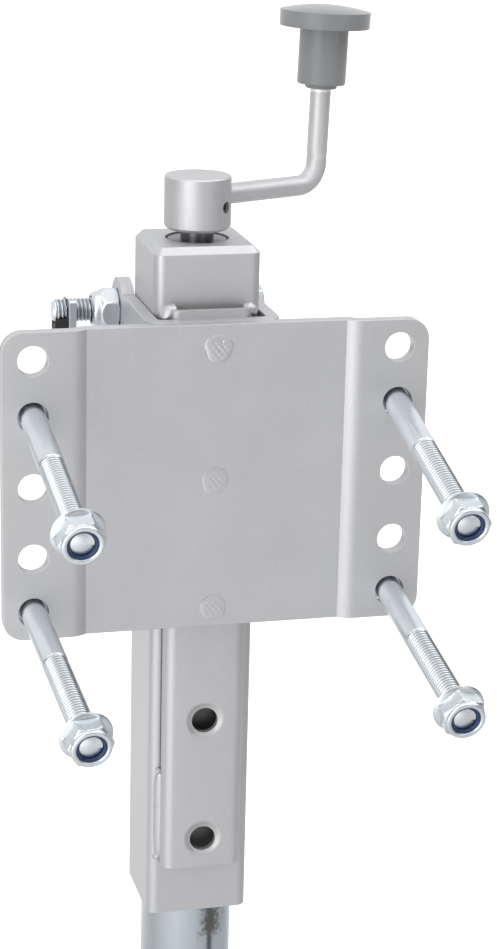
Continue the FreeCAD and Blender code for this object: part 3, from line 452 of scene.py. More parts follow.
# %% Bolt head
HEAD_HEIGHT = 8.1
head_rows = [(0, -HEAD_HEIGHT, 0), (8.6, -HEAD_HEIGHT, 0), (9.1, -HEAD_HEIGHT + 0.08, 1),
             (9.5, -HEAD_HEIGHT + 0.22, 1), (10.0, -HEAD_HEIGHT + 0.5, 1),
             (11.3, -HEAD_HEIGHT + 1.25, 1), (11.3, -0.85, 1), (11.0, -0.6, 1), (9.6, -0.42, 1),
             (9.2, -0.38, 0), (9.0, -0.06, 0), (8.8, 0, 0), (0, 0, 0)]
head = hex_turned(head_rows)

# %% Mounting bolts
bolt_length = HEAD_STAND + NUT_FACE - TIP_SINK
shank = threaded(bolt_length, smooth=HEAD_STAND + MOUNT_PLAIN)
shells, bolt_lines = [], []
for x, z, droop, yaw, _ in HANGING.values():
    middle, axis = hanging_line(x, z, droop, yaw)
    start = middle - HEAD_STAND * axis
    bolt_lines.append((start, axis))
    shells += [set_along(head, start, axis, 30.0), set_along(shank, start, axis)]
mount_bolts = build("mount_bolts_threaded", shells, "jack_body", "mount_bolts",
                    crease=50.0)
mark_grooves(mount_bolts, bolt_lines, HEAD_STAND + MOUNT_PLAIN + 0.4, bolt_length - 0.9)

# %% [markdown]
# ## Flanged lock nuts with a blue ring
#
# Each nut is one closed surface: down the flange, up the hexagon, over the short crown that is
# pressed round the nylon ring, and back down the bore. The ring is softer than steel, so the bolt
# cuts its own thread in it and the nut can't shake loose. Its hole is narrower than the bolt,
# which is why a dark rim shows round the bolt's end.

# %% Flanged nut
NUT_HEIGHT = 11.5
nut_outside = [(6.2, 0, 0), (11.6, 0, 0), (12.05, 0.12, 0), (12.25, 0.45, 0), (12.2, 0.8, 0),
               (11.95, 1.05, 0), (11.4, 1.35, 0), (10.95, 1.62, 0.3), (10.95, 1.8, 1),
               (11.3, 2.1, 1), (11.3, 8.0, 1), (10.9, 8.55, 1), (10.4, 8.95, 1), (9.9, 9.3, 1),
               (9.5, 9.52, 0.8), (9.36, 9.7, 0), (9.4, 9.95, 0), (9.42, 10.5, 0), (9.3, 10.9, 0),
               (9.05, 11.25, 0), (8.65, 11.45, 0), (8.2, 11.5, 0), (7.6, 11.42, 0),
               (7.15, 11.2, 0), (6.96, 10.95, 0), (6.93, 10.8, 0), (6.93, 10.6, 0), (6.9, 7.5, 0),
               (6.2, 7.0, 0)]
flange_nut = hex_turned(nut_outside, ring=True)

# %% Nylon ring
ring_profile = soft_outline([(6.22, 7.3, 0), (6.85, 7.3, 0), (6.88, 10.78, 0.1), (6.62, 10.45, 0.1),
                             (6.3, 10.62, 0.25), (5.9, 10.25, 0.3), (5.5, 9.45, 0.1),
                             (6.22, 9.38, 0.05)], steps=6, ring=True)
nylon = turned(ring_profile, columns=96, ring=True)

# %% Nuts and rings on their bolts
nuts, rings = [], []
for x, z, droop, yaw, spin in HANGING.values():
    middle, axis = hanging_line(x, z, droop, yaw)
    seat = middle + (NUT_FACE - NUT_HEIGHT) * axis
    nuts.append(set_along(flange_nut, seat, axis, spin))
    rings.append(set_along(nylon, seat, axis))
mount_nuts = build("mount_nuts_flanged", nuts, "jack_body", "mount_nuts", crease=32.0)

# %% [markdown]
# ## The keeper bolts across the back
#
# Two more half-inch bolts close the bracket behind the tube, so that the jack can't fall out of it.
# Their heads are on the right. On the left each has a taller lock nut, and a long threaded tail.

# %% Keeper bolts and nuts
KEEPER_Y = 82.65
KEEPER_Z = 64.7
KEEPER_START = 32.5
KEEPER_TAIL = 32.3
KEEPER_PLAIN = 52.0
LEFTWARD = (-1, 0, 0)
keeper_length = 2 * KEEPER_START + KEEPER_TAIL
keeper_shank = threaded(keeper_length, smooth=KEEPER_PLAIN, bevel=1.6, slope=0.7)
tall_rows = [(6.2, 0, 0), (8.9, 0, 0), (9.3, 0.1, 1), (9.9, 0.35, 1), (10.6, 0.75, 1),
             (11.3, 1.2, 1), (11.3, 5.9, 1), (10.9, 6.7, 1), (10.4, 7.6, 1), (9.9, 8.4, 1),
             (9.5, 8.9, 0.8), (9.3, 9.15, 0), (9.2, 9.4, 0), (9.0, 10.6, 0), (8.7, 11.6, 0),
             (8.35, 12.3, 0), (7.95, 12.75, 0), (7.6, 12.95, 0), (7.3, 13.0, 0), (7.0, 12.9, 0),
             (6.93, 12.7, 0), (6.93, 12.2, 0), (6.9, 9.0, 0), (6.2, 8.6, 0)]
tall_nut = hex_turned(tall_rows, ring=True)
tall_ring = turned(soft_outline([(6.22, 9.0, 0), (6.85, 9.0, 0), (6.85, 12.5, 0.2),
                                 (6.22, 12.5, 0.3)], ring=True), ring=True)
bolts, nuts, keeper_lines = [], [], []
for side, head_spin, nut_spin in ((1, 20.0, 57.0), (-1, 47.0, 13.0)):
    start = (KEEPER_START, KEEPER_Y, side * KEEPER_Z)
    seat = (-KEEPER_START, KEEPER_Y, side * KEEPER_Z)
    keeper_lines.append((start, LEFTWARD))
    bolts += [set_along(head, start, LEFTWARD, head_spin), set_along(keeper_shank, start, LEFTWARD)]
    nuts.append(set_along(tall_nut, seat, LEFTWARD, nut_spin))
    rings.append(set_along(tall_ring, seat, LEFTWARD))
keeper_bolts = build("keeper_bolts_threaded", bolts, "jack_body", "keeper_bolts",
                     crease=50.0)
mark_grooves(keeper_bolts, keeper_lines, KEEPER_PLAIN + 0.4, keeper_length - 1.7)
keeper_nuts = build("keeper_nuts_locking", nuts, "jack_body", "keeper_nuts",
                    crease=32.0)
nylon_rings = build("nylon_rings_pressed", rings, "jack_body", "nylon_rings")

# %% [markdown]
# ## Bent and welded steel
#
# The plate, the bracket, the rail, the cap, the hub, the foot and the small pieces at the keeper
# bolt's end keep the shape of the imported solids. What they lack is the rolled edge of real metal.
# Each gets a copy whose loose triangles are merged and whose flat faces are joined, and a narrow
# bevel then rolls its sharp edges. A test can make the bevel narrower, or leave edges out.


# %% Softened copies
NEARLY_FLAT = math.radians(0.5)
ROLLED_ABOVE = math.radians(40)
SHADED_SHARP = math.radians(30)


def softened(node, name, body, width, picked=lambda at: 1.0, segments=3):
    """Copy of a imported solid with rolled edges. Triangles are merged where they touch, and joined
    where they turn by less than half a degree. An edge is rolled where its two faces meet at more
    than forty degrees, by the width times what picked gives for its middle."""
    mesh = nodes[node].data.copy()
    mesh.name = name
    work = bmesh.new()
    work.from_mesh(mesh)
    bmesh.ops.remove_doubles(work, verts=work.verts, dist=1e-6)
    bmesh.ops.dissolve_limit(work, angle_limit=NEARLY_FLAT, verts=work.verts, edges=work.edges)
    weight = work.edges.layers.float.get("bevel_weight_edge")
    weight = weight or work.edges.layers.float.new("bevel_weight_edge")
    rolled = 0
    for edge in work.edges:
        middle = (edge.verts[0].co + edge.verts[1].co) / 2
        sharp = edge.is_manifold and edge.calc_face_angle(0.0) > ROLLED_ABOVE
        edge[weight] = float(picked(middle)) if sharp else 0.0
        rolled += edge[weight] > 0
    work.to_mesh(mesh)
    work.free()
    mesh.shade_smooth()
    mesh.set_sharp_from_angle(angle=SHADED_SHARP)
    piece = bpy.data.objects.new(name, mesh)
    scene.collection.objects.link(piece)
    bevel = piece.modifiers.new("rolled_edge", "BEVEL")
    bevel.width = width * MM
    bevel.segments = segments
    bevel.limit_method = "WEIGHT"
    bevel.harden_normals = True
    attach(piece, body)
    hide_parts(node)
    print(name, len(mesh.polygons), "faces,", rolled, "edges rolled")
    return piece


# %% Every softened piece
plate = softened("mount_plate", "mount_plate_rolled", "jack_body", 0.55)
saddle = softened("saddle", "saddle_rolled", "jack_body", 0.7)
rail_low, rail_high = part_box("height_rail")


def punched(at):
    """The rims of the rail's holes at its front, which the punch has drawn in."""
    return abs(at.x) < 0.0075 and at.y < rail_low.y + 0.0004 and (
        rail_low.z + 0.004 < at.z < rail_high.z - 0.004)


rail = softened("height_rail", "height_rail_rolled", "jack_body", 0.8,
                lambda at: 1.0 if punched(at) else 0.6)
cap_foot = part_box("outer_tube")[1].z
cap = softened("top_cap", "top_cap_rolled", "jack_body", 1.1, lambda at: at.z > cap_foot + 0.001)
hub = softened("crank_hub", "crank_hub_rolled", "crank", 0.35)
foot = softened("foot_plate", "foot_plate_rolled", "leg", 0.8)
clip = softened("end_clip", "end_clip_rolled", "jack_body", 0.3)
loop = softened("end_loop", "end_loop_rolled", "jack_body", 0.4)

# %% [markdown]
# ## Welds
#
# A weld bead is a row of small frozen pools, each laid over the last. The surface is a half-round
# carried along a line: its size swells and shrinks with each pool, and the ripples lag at the
# sides, because the middle of the pool freezes last. Short beads hold the rail to the tube and the
# bracket to the plate. Blobs close the rail's upper corners, and three plug welds show in the
# middle of the plate, where studs were fixed through holes and ground nearly flush.


# %% Weld surfaces
def weld_bead(start, end, outward, width, height, pool=1.5, wave=0.13, columns=24):
    """Bead from start to end (mm), rising along outward. Each ring is an ellipse of width and
    height, times 1 + wave |sin| of the distance along in pools, lagging by the square of the
    cosine round the ring, which is most at the sides. A slower wave makes it uneven. The ends
    close as the fourth root of 1 less the fourth power of the place."""
    start, end, outward = (np.array(v, dtype=float) for v in (start, end, outward))
    length = np.linalg.norm(end - start)
    along = (end - start) / length
    outward = outward / np.linalg.norm(outward)
    side = np.cross(outward, along)
    rows = int(length / pool * 9) + 12
    place = np.sin(np.linspace(-np.pi / 2, np.pi / 2, rows))[:, None]
    angle = np.arange(columns)[None, :] * 2 * np.pi / columns
    distance = (place + 1) / 2 * length
    lag = 0.55 * np.cos(angle) ** 2
    ripple = 1 + wave * np.abs(np.sin(np.pi * (distance / pool + lag))) + 0.4 * wave * np.sin(
        distance * 2.3 + 1.0) * np.sin(distance * 0.9)
    close = (1 - np.abs(place) ** 4) ** 0.25
    across = width / 2 * close * ripple * np.cos(angle)
    above = height * close * ripple * np.sin(angle)
    centre = start + distance[..., None] * along
    points = centre + across[..., None] * side + above[..., None] * outward
    return points.reshape(-1, 3) * MM, grid_faces(rows, columns)


def weld_blob(centre, outward, radii, swirl=0.0, rows=28, columns=40):
    """Lump of weld: an ellipsoid of three radii whose size ripples in rings by 4 % and leans with
    the angle by 6 %. outward is its third axis."""
    tilt = np.linspace(-np.pi / 2, np.pi / 2, rows)[:, None]
    angle = np.arange(columns)[None, :] * 2 * np.pi / columns
    size = 1 + 0.04 * np.sin(9 * tilt + swirl) + 0.06 * np.sin(2 * angle + swirl) * np.cos(tilt)
    x = radii[0] * np.cos(tilt) * np.cos(angle) * size
    y = radii[1] * np.cos(tilt) * np.sin(angle) * size
    z = radii[2] * np.sin(tilt) * size
    points = np.stack([x, y, z + 0 * angle], axis=-1).reshape(-1, 3) * MM
    return set_along((points, grid_faces(rows, columns)), centre, outward)


def plug_weld(x, z, radius, height, face, swirl):
    """Plug weld ground nearly flush: a disc whose height falls as 1 less the sixth power of the
    distance, with slow waves round it. One taller than 0.3 mm has a pinhole above its middle and
    to the right."""
    share = np.linspace(0, 1, 30)[:, None]
    angle = np.arange(64)[None, :] * 2 * np.pi / 64
    reach = radius * share * (1 + 0.05 * np.sin(3 * angle + swirl) + 0.03 * np.sin(5 * angle))
    across, upward = reach * np.cos(angle), reach * np.sin(angle)
    wave = 0.10 * np.sin(2.1 * across + swirl) * np.sin(1.7 * upward) * (1 - share)
    hole = 0.5 * np.exp(-((across - 1.4) ** 2 + (upward - 3.4) ** 2) / 0.35)
    rise = height * (1 - share ** 6) + wave * height * 3 - hole * (height > 0.3)
    points = np.stack([x + across, face - rise + 0.02 * share, z + upward], axis=-1)
    return points.reshape(-1, 3) * MM, grid_faces(30, 64)


# %% Welds of the jack body
TUBE_FRONT = 24.95
RAIL_SIDE, RAIL_HEAD = 20.3, 76.4
PANEL_FACE = 3.0
BRACKET_SIDE, BRACKET_BACK = 32.6, 9.65
STITCH_ROWS, STITCH_HALF = (44.0, -52.0), 13.0
BEAD_TOP, BEAD_FOOT = -158.5, -205.5
PLUGS = ((0.4, 62.8, 6.9, 0.6, 0.4), (-0.3, -1.2, 6.6, 0.3, 2.0), (0.2, -65.2, 6.6, 0.3, 4.1))
shells = [plug_weld(x, z, radius, height, PANEL_FACE, swirl)
          for x, z, radius, height, swirl in PLUGS]
for side in (-1, 1):
    edge, size = side * RAIL_SIDE, 3.8 - 0.5 * side
    shells += [
        weld_bead((edge, TUBE_FRONT, BEAD_TOP), (edge, TUBE_FRONT, BEAD_FOOT), (side, -1, 0), 6.6,
                  2.5, pool=4.0, wave=0.02),
        weld_blob((edge - side * 0.8, TUBE_FRONT - 3.0, RAIL_HEAD - 0.5 * (1 - side)),
                  (side, -1.0, 0.8), (0.95 * size, 1.2 * size, size), 1.0 + side)]
    shells += [weld_bead((side * BRACKET_SIDE, BRACKET_BACK, z + STITCH_HALF),
                         (side * BRACKET_SIDE, BRACKET_BACK, z - STITCH_HALF),
                         (side, 1, 0), 6.0, 2.6) for z in STITCH_ROWS]
shells += [
    weld_blob((-RAIL_SIDE - 0.8, TUBE_FRONT - 0.6, BEAD_TOP), (-1, -1, 0), (1.5, 1.7, 1.9)),
    weld_blob((-RAIL_SIDE - 1.4, TUBE_FRONT - 0.3, BEAD_FOOT), (-1, -1, 0), (2.2, 1.6, 1.6))]
welds = build("weld_beads", shells, "jack_body", crease=60.0)

# %% [markdown]
# ## The crank
#
# A round rod leaves the hub level, bends up once and ends inside the knob. It is a circle carried
# along that line. Just above the bend the rod was squeezed in a die, which left two small ears and
# a flat. The knob is one turned outline with two ribs on its neck.

# %% Crank line
CRANK_ANGLE = math.radians(23.1)
CRANK_LEAN = math.radians(2.2)
TUBE_AXIS = 50.65
ARM_Z = 125.3
THROW = 71.5
ROD_RADIUS = 5.0
ROD_BEND = 11.0
ROD_START, ROD_END = 8.45, 79.4
DIE_HEIGHT = 13.2
RADIAL = np.array([math.cos(CRANK_ANGLE), math.sin(CRANK_ANGLE), 0.0])
UPRIGHT = np.array([0.0, 0.0, 1.0])
LEVEL = np.cross(UPRIGHT, RADIAL)
LEANING = math.sin(CRANK_LEAN) * RADIAL + math.cos(CRANK_LEAN) * UPRIGHT


def crank_point(radius, height):
    """Point of the crank's plane (mm), by its distance from the screw's axis and its height above
    the arm."""
    return np.array([0, TUBE_AXIS, ARM_Z]) + radius * RADIAL + height * UPRIGHT


def crank_line(count_arm=20, count_bend=26, count_up=90):
    """The rod's middle line in the crank's plane: a level run, an arc of 90 degrees less the lean,
    and a leaning run. Gives distances from the screw's axis, heights above the arm and aims."""
    turn_by = math.pi / 2 - CRANK_LEAN
    bend_end = ROD_BEND * math.tan(turn_by / 2)
    corner = THROW - bend_end
    arm = np.linspace(ROD_START, corner, count_arm, endpoint=False)
    arc = np.linspace(0, turn_by, count_bend, endpoint=False)
    climb = np.linspace(bend_end, ROD_END, count_up)
    radius = np.concatenate([arm, corner + ROD_BEND * np.sin(arc),
                             THROW + climb * math.sin(CRANK_LEAN)])
    height = np.concatenate([0 * arm, ROD_BEND * (1 - np.cos(arc)),
                             climb * math.cos(CRANK_LEAN)])
    aim = np.concatenate([0 * arm, arc, 0 * climb + turn_by])
    return radius, height, aim


def crank_rod_surface(columns=48):
    """Circle carried along the crank's line. The ears add a bell-shaped bulge on two sides, and the
    flats between them are pressed in by a smaller bell."""
    radius, height, aim = crank_line()
    angle = np.arange(columns)[None, :] * 2 * np.pi / columns
    run = np.concatenate([[0], np.cumsum(np.hypot(np.diff(radius), np.diff(height)))])
    die = run[np.searchsorted(height, DIE_HEIGHT)]
    bell = np.exp(-((run - die) / 1.5) ** 2)[:, None]
    reach = ROD_RADIUS * (1 + bell * (0.10 * np.cos(angle) ** 8 - 0.07 * np.sin(angle) ** 4))
    middle = crank_point(radius[:, None], height[:, None])
    across = -np.sin(aim)[:, None] * RADIAL + np.cos(aim)[:, None] * UPRIGHT
    ring = (middle[:, None, :] + (reach * np.sin(angle))[..., None] * across[:, None, :]
            - (reach * np.cos(angle))[..., None] * LEVEL)
    ends = np.repeat(middle[[0, -1]][:, None, :], columns, axis=1)
    points = np.concatenate([ends[:1], ring, ends[1:]]).reshape(-1, 3)
    return points * MM, grid_faces(len(radius) + 2, columns)


crank_rod = build("crank_rod_bent", [crank_rod_surface()], "crank", "crank_rod")


# %% Knob and its collar
def on_upright(height):
    """Point on the rod's leaning run, by the distance from the corner along it."""
    return crank_point(THROW + height * math.sin(CRANK_LEAN), height * math.cos(CRANK_LEAN))


KNOB_FOOT = 49.1
RIB_RADIUS, RIB_FOOT, RIB_TOP = 11.75, 21.3, 27.4
knob_outline = soft_outline([
    (0, 30.8, 0), (5.08, 30.8, 0), (5.08, 0.0, 0), (11.45, 0.0, 0.2), (11.85, 0.6, 0.3),
    (11.85, 26.9, 0.5), (12.2, 27.5, 0.3), (21.95, 27.5, 0.25), (22.05, 35.3, 0.3),
    (15.0, 36.8, 8.0), (7.5, 37.8, 8.0), (0, 38.0, 0)])
knob_shell = turned(knob_outline, columns=128)
ribs = []
for bearing in (-0.32, 0.30):
    outwards = np.array([math.sin(bearing), -math.cos(bearing), 0.0])
    on_neck = RIB_RADIUS * outwards
    ribs.append(weld_bead(on_neck + RIB_FOOT * UPRIGHT, on_neck + RIB_TOP * UPRIGHT, outwards,
                          0.7, 0.35, pool=40.0, columns=12))
knob_shells = [set_along(shell, on_upright(KNOB_FOOT), LEANING) for shell in [knob_shell] + ribs]
knob = build("knob_moulded", knob_shells, "knob_body", "knob")
collar_outline = soft_outline([(5.05, 0, 0), (7.3, 0, 0.2), (7.75, 0.5, 0.2), (7.75, 2.0, 0.2),
                               (5.05, 2.0, 0)], ring=True)
collar_shell = set_along(turned(collar_outline, 64, ring=True), on_upright(KNOB_FOOT - 2.1),
                         LEANING)
knob_collar = build("knob_collar", [collar_shell], "crank", "knob_washer")

# %% [markdown]
# ## Node groups that several finishes share
#
# Real finishes differ in colour but share their flaws: a fine grain, a slow change of tone, worn
# edges and small scratches. Each flaw is one group of nodes with named inputs, made once and put
# into every material that needs it with values of its own.


# %% Empty groups and noise
def node_group(name, inputs, outputs):
    """An empty shader node group with named sockets. Gives back the tree, its input and output."""
    tree = bpy.data.node_groups.new(name, "ShaderNodeTree")
    kinds = {"float": "NodeSocketFloat", "color": "NodeSocketColor", "vector": "NodeSocketVector"}
    for label, kind, start in inputs:
        socket = tree.interface.new_socket(name=label, in_out="INPUT", socket_type=kinds[kind])
        if start is not None:
            socket.default_value = start
    for label, kind in outputs:
        tree.interface.new_socket(name=label, in_out="OUTPUT", socket_type=kinds[kind])
    return tree, tree.nodes.new("NodeGroupInput"), tree.nodes.new("NodeGroupOutput")


def noise(tree, place, scale, detail=3.0, roughness=0.55):
    """Height of a noise at a place: its scale is in waves to the metre."""
    return add(tree, "ShaderNodeTexNoise", {"Vector": place, "Scale": scale, "Detail": detail,
               "Roughness": roughness}).outputs["Fac"]


# %% Grain: fine hills and a wandering tone
def grain_group():
    """Fine noise makes the hills. The tone is multiplied by 1 plus Mottle times the sum of a slow
    and a fine noise, each less a half."""
    tree, given, made = node_group(
        "grain", [("Place", "vector", None), ("Tone", "color", (0.6, 0.6, 0.6, 1)),
                  ("Grain", "float", 1800.0), ("Mottle", "float", 0.05),
                  ("Roughness", "float", 0.45), ("Spread", "float", 0.12)],
        [("Color", "color"), ("Height", "float"), ("Roughness", "float")])
    place = given.outputs["Place"]
    fine = noise(tree, place, given.outputs["Grain"])
    slow = noise(tree, place, 34.0, 4.0)
    both = mathed(tree, "SUBTRACT", mathed(tree, "ADD", fine, slow), 1.0)
    gain = mathed(tree, "ADD", mathed(tree, "MULTIPLY", both, given.outputs["Mottle"]), 1.0)
    toned = add(tree, "ShaderNodeVectorMath", {0: given.outputs["Tone"], 1: gain},
                operation="MULTIPLY")
    lift = mathed(tree, "MULTIPLY", both, given.outputs["Spread"])
    rough = mathed(tree, "ADD", given.outputs["Roughness"], lift)
    tree.links.new(toned.outputs[0], made.inputs["Color"])
    tree.links.new(fine, made.inputs["Height"])
    tree.links.new(rough, made.inputs["Roughness"])
    return tree


GRAIN = grain_group()


# %% Edge wear: where rounded and true surface disagree
def edge_wear_group():
    """The direction of a surface rounded by Width is compared with the true one. Where they
    disagree there is an edge, and a noise breaks the mask up as rubbing would."""
    tree, given, made = node_group(
        "edge_wear", [("Place", "vector", None), ("Width", "float", 0.0008),
                      ("Amount", "float", 0.6)], [("Mask", "float")])
    rounded = add(tree, "ShaderNodeBevel", {"Radius": given.outputs["Width"]}, samples=4)
    true = add(tree, "ShaderNodeNewGeometry")
    match = add(tree, "ShaderNodeVectorMath", {0: rounded.outputs[0], 1: true.outputs["Normal"]},
                operation="DOT_PRODUCT").outputs["Value"]
    edge = ramp(tree, match, 0.995, 0.90)
    rubbed = ramp(tree, noise(tree, given.outputs["Place"], 260.0, 4.0), 0.35, 0.65)
    mask = mathed(tree, "MULTIPLY", mathed(tree, "MULTIPLY", edge, rubbed),
                  given.outputs["Amount"])
    tree.links.new(mask, made.inputs["Mask"])
    return tree


EDGE_WEAR = edge_wear_group()


# %% Scratches: thin bright lines in two directions
def scratch_group():
    """A noise stretched more than twenty times is nearly a set of lines. Only its narrow middle
    band is kept, for two directions, and a slow noise decides where the lines are."""
    tree, given, made = node_group(
        "scratches", [("Place", "vector", None), ("Amount", "float", 0.5)],
        [("Mask", "float"), ("Height", "float")])
    masks = []
    for angle, stretch in ((0.5, (40.0, 900.0, 40.0)), (-0.9, (30.0, 30.0, 700.0))):
        turned_place = add(tree, "ShaderNodeMapping", {"Vector": given.outputs["Place"],
                           "Rotation": (angle, 0.4, angle), "Scale": stretch})
        lines = noise(tree, turned_place.outputs[0], 1.0, 1.0)
        band = mathed(tree, "ABSOLUTE", mathed(tree, "SUBTRACT", lines, 0.5))
        masks.append(ramp(tree, band, 0.006, 0.0))
    where = ramp(tree, noise(tree, given.outputs["Place"], 45.0, 3.0), 0.56, 0.70)
    both = mathed(tree, "MAXIMUM", masks[0], masks[1])
    mask = mathed(tree, "MULTIPLY", mathed(tree, "MULTIPLY", both, where),
                  given.outputs["Amount"])
    tree.links.new(mask, made.inputs["Mask"])
    tree.links.new(mathed(tree, "MULTIPLY", mask, -1.0), made.inputs["Height"])
    return tree


SCRATCHES = scratch_group()


# %% Patches for stains and painted light: a place with soft, ragged sides
def stain_and_light_patch_group():
    """The place's distance from Centre is taken along each axis, less Half. The largest of the
    three over Fade, plus a noise times Ragged, is the share: the mask falls from 1 at share 0 to
    nothing at share 1."""
    tree, given, made = node_group(
        "stains_and_painted_light", [("Place", "vector", None), ("Centre", "vector", None), ("Half", "vector", None),
                 ("Fade", "float", 0.001), ("Ragged", "float", 0.0)], [("Mask", "float")])
    away = add(tree, "ShaderNodeVectorMath", {0: given.outputs["Place"],
                                              1: given.outputs["Centre"]}, operation="SUBTRACT")
    away = add(tree, "ShaderNodeVectorMath", {0: away.outputs[0]}, operation="ABSOLUTE")
    away = add(tree, "ShaderNodeVectorMath", {0: away.outputs[0], 1: given.outputs["Half"]},
               operation="SUBTRACT")
    split = add(tree, "ShaderNodeSeparateXYZ", {0: away.outputs[0]})
    largest = mathed(tree, "MAXIMUM", mathed(tree, "MAXIMUM", split.outputs["X"],
                                             split.outputs["Y"]), split.outputs["Z"])
    tear = mathed(tree, "SUBTRACT", noise(tree, given.outputs["Place"], 420.0, 5.0, 0.7), 0.45)
    tear = mathed(tree, "MULTIPLY", tear, given.outputs["Ragged"])
    share = mathed(tree, "ADD", mathed(tree, "DIVIDE", largest, given.outputs["Fade"]), tear)
    tree.links.new(ramp(tree, share, 0.0, 1.0, 1.0, 0.0), made.inputs["Mask"])
    return tree


STAIN_AND_LIGHT_PATCH = stain_and_light_patch_group()


# %% Drawn lips: the soft foot of the lip round each punched hole
LIP_IN, LIP_OUT = 0.0062, 0.0098


def lips_group():
    """The distance from the nearest hole's axis, with the height wrapped by the pitch of the row.
    The height climbs as a smooth step, from 0 at LIP_IN to 1 at LIP_OUT. The hole's rim lies at
    6.5 mm, so the foot of the lip ends 3.3 mm outside it."""
    tree, given, made = node_group(
        "drawn_lips", [("Place", "vector", None), ("First", "float", 0.0),
                       ("Pitch", "float", 0.05)], [("Height", "float")])
    split = add(tree, "ShaderNodeSeparateXYZ", {0: given.outputs["Place"]})
    above = mathed(tree, "SUBTRACT", split.outputs["Z"], given.outputs["First"])
    half = mathed(tree, "MULTIPLY", given.outputs["Pitch"], 0.5)
    nearest = add(tree, "ShaderNodeMath", {0: above, 1: half,
                                           2: mathed(tree, "MULTIPLY", half, -1.0)},
                  operation="WRAP").outputs[0]
    flat = add(tree, "ShaderNodeCombineXYZ", {0: split.outputs["X"], 1: 0.0, 2: nearest})
    away = add(tree, "ShaderNodeVectorMath", {0: flat.outputs[0]}, operation="LENGTH")
    climb = ramp(tree, away.outputs["Value"], LIP_IN, LIP_OUT)
    tree.links.new(climb, made.inputs["Height"])
    return tree


DRAWN_LIPS = lips_group()

# %% [markdown]
# ## The finishes
#
# Silver powder coat is flake in a clear film: partly metallic, satin, with an orange-peel grain.
# Bright zinc is a thin crystal skin on the steel, slightly blue, clouded where it was handled. The
# leg is zinc over drawn tube, so its streaks run lengthwise. The knob is moulded plastic with a
# fine spark-eroded grain, the rings are nylon, and the block at the keeper bolt's end is rubber.


# %% Paint and zinc
def mixed(tree, share, first, second):
    """Mixes two colours by a share."""
    return add(tree, "ShaderNodeMix", {"Factor": share, 6: first, 7: second},
               data_type="RGBA").outputs[2]


GRAIN_DEPTH = 0.0002
LIP_DEPTH = 0.0013
SHEEN_ROUGHNESS = 0.35


def finish_of(name, tone, metallic, rough, grain=1800.0, mottle=0.06, spread=0.12, bump=0.12,
              worn=None, wear=0.0, scratched=0.0, stretch=None, edge=0.0008, stains_and_painted_light=(), groove_shade=0.0,
              stain_and_painted_light_colour=(0.03, 0.03, 0.03, 1), lips=None, sheen=0.0):
    """A finish from the shared groups. worn is the colour of rubbed edges and scratches; stretch
    draws the grain out along an axis, as drawing or brushing does. The list of patches mixes
    places towards the patch colour, each with its centre, half size, fade and ragged share: real
    stains, painted shade and a painted highlight. The groove weight paints shade into a thread's
    grooves; lips is the lowest hole's height and the pitch of a row of punched holes; sheen is the
    pale haze of moulded plastic seen at a slant."""
    made = bpy.data.materials.new(name)
    made.use_nodes = True
    tree = made.node_tree
    shader = next(node for node in tree.nodes if node.type == "BSDF_PRINCIPLED")
    place = add(tree, "ShaderNodeTexCoord").outputs["Object"]
    along = place
    if stretch:
        along = add(tree, "ShaderNodeMapping", {"Vector": place, "Scale": stretch}).outputs[0]
    grains = add(tree, "ShaderNodeGroup", node_tree=GRAIN)
    for socket, value in (("Tone", tone), ("Grain", grain), ("Mottle", mottle),
                          ("Roughness", rough), ("Spread", spread)):
        grains.inputs[socket].default_value = value
    tree.links.new(along, grains.inputs["Place"])
    colour, height = grains.outputs["Color"], grains.outputs["Height"]
    if wear or scratched:
        edges = add(tree, "ShaderNodeGroup", {"Place": place, "Width": edge, "Amount": wear},
                    node_tree=EDGE_WEAR)
        lines = add(tree, "ShaderNodeGroup", {"Place": place, "Amount": scratched},
                    node_tree=SCRATCHES)
        mask = mathed(tree, "MAXIMUM", edges.outputs["Mask"], lines.outputs["Mask"])
        colour = mixed(tree, mask, colour, worn or tone)
        height = mathed(tree, "ADD", height, lines.outputs["Height"])
    # Patches mix the colour towards the patch colour: real stains on the leg, painted shade on the
    # rail and tube, a painted highlight on the rod.
    for centre, half, fade, ragged in stains_and_painted_light:
        spot = add(tree, "ShaderNodeGroup", {"Place": place, "Centre": centre, "Half": half,
                                             "Fade": fade, "Ragged": ragged}, node_tree=STAIN_AND_LIGHT_PATCH)
        colour = mixed(tree, spot.outputs["Mask"], colour, stain_and_painted_light_colour)
    # Painted shade: the thread's grooves are darkened by their depth.
    if groove_shade:
        groove = add(tree, "ShaderNodeAttribute", attribute_name="groove_shade").outputs["Fac"]
        colour = mixed(tree, mathed(tree, "MULTIPLY", groove, groove_shade), colour, stain_and_painted_light_colour)
    hills = add(tree, "ShaderNodeBump", {"Height": height, "Strength": bump,
                                       "Distance": GRAIN_DEPTH})
    if lips:
        drawn = add(tree, "ShaderNodeGroup", {"Place": place, "First": lips[0], "Pitch": lips[1]},
                    node_tree=DRAWN_LIPS)
        sunk = add(tree, "ShaderNodeBump", {"Height": drawn.outputs["Height"], "Strength": 1.0,
                                            "Distance": LIP_DEPTH})
        tree.links.new(sunk.outputs[0], hills.inputs["Normal"])
    tree.links.new(colour, shader.inputs["Base Color"])
    tree.links.new(grains.outputs["Roughness"], shader.inputs["Roughness"])
    tree.links.new(hills.outputs[0], shader.inputs["Normal"])
    shader.inputs["Metallic"].default_value = metallic
    if sheen:
        shader.inputs["Sheen Weight"].default_value = sheen
        shader.inputs["Sheen Roughness"].default_value = SHEEN_ROUGHNESS
    return made


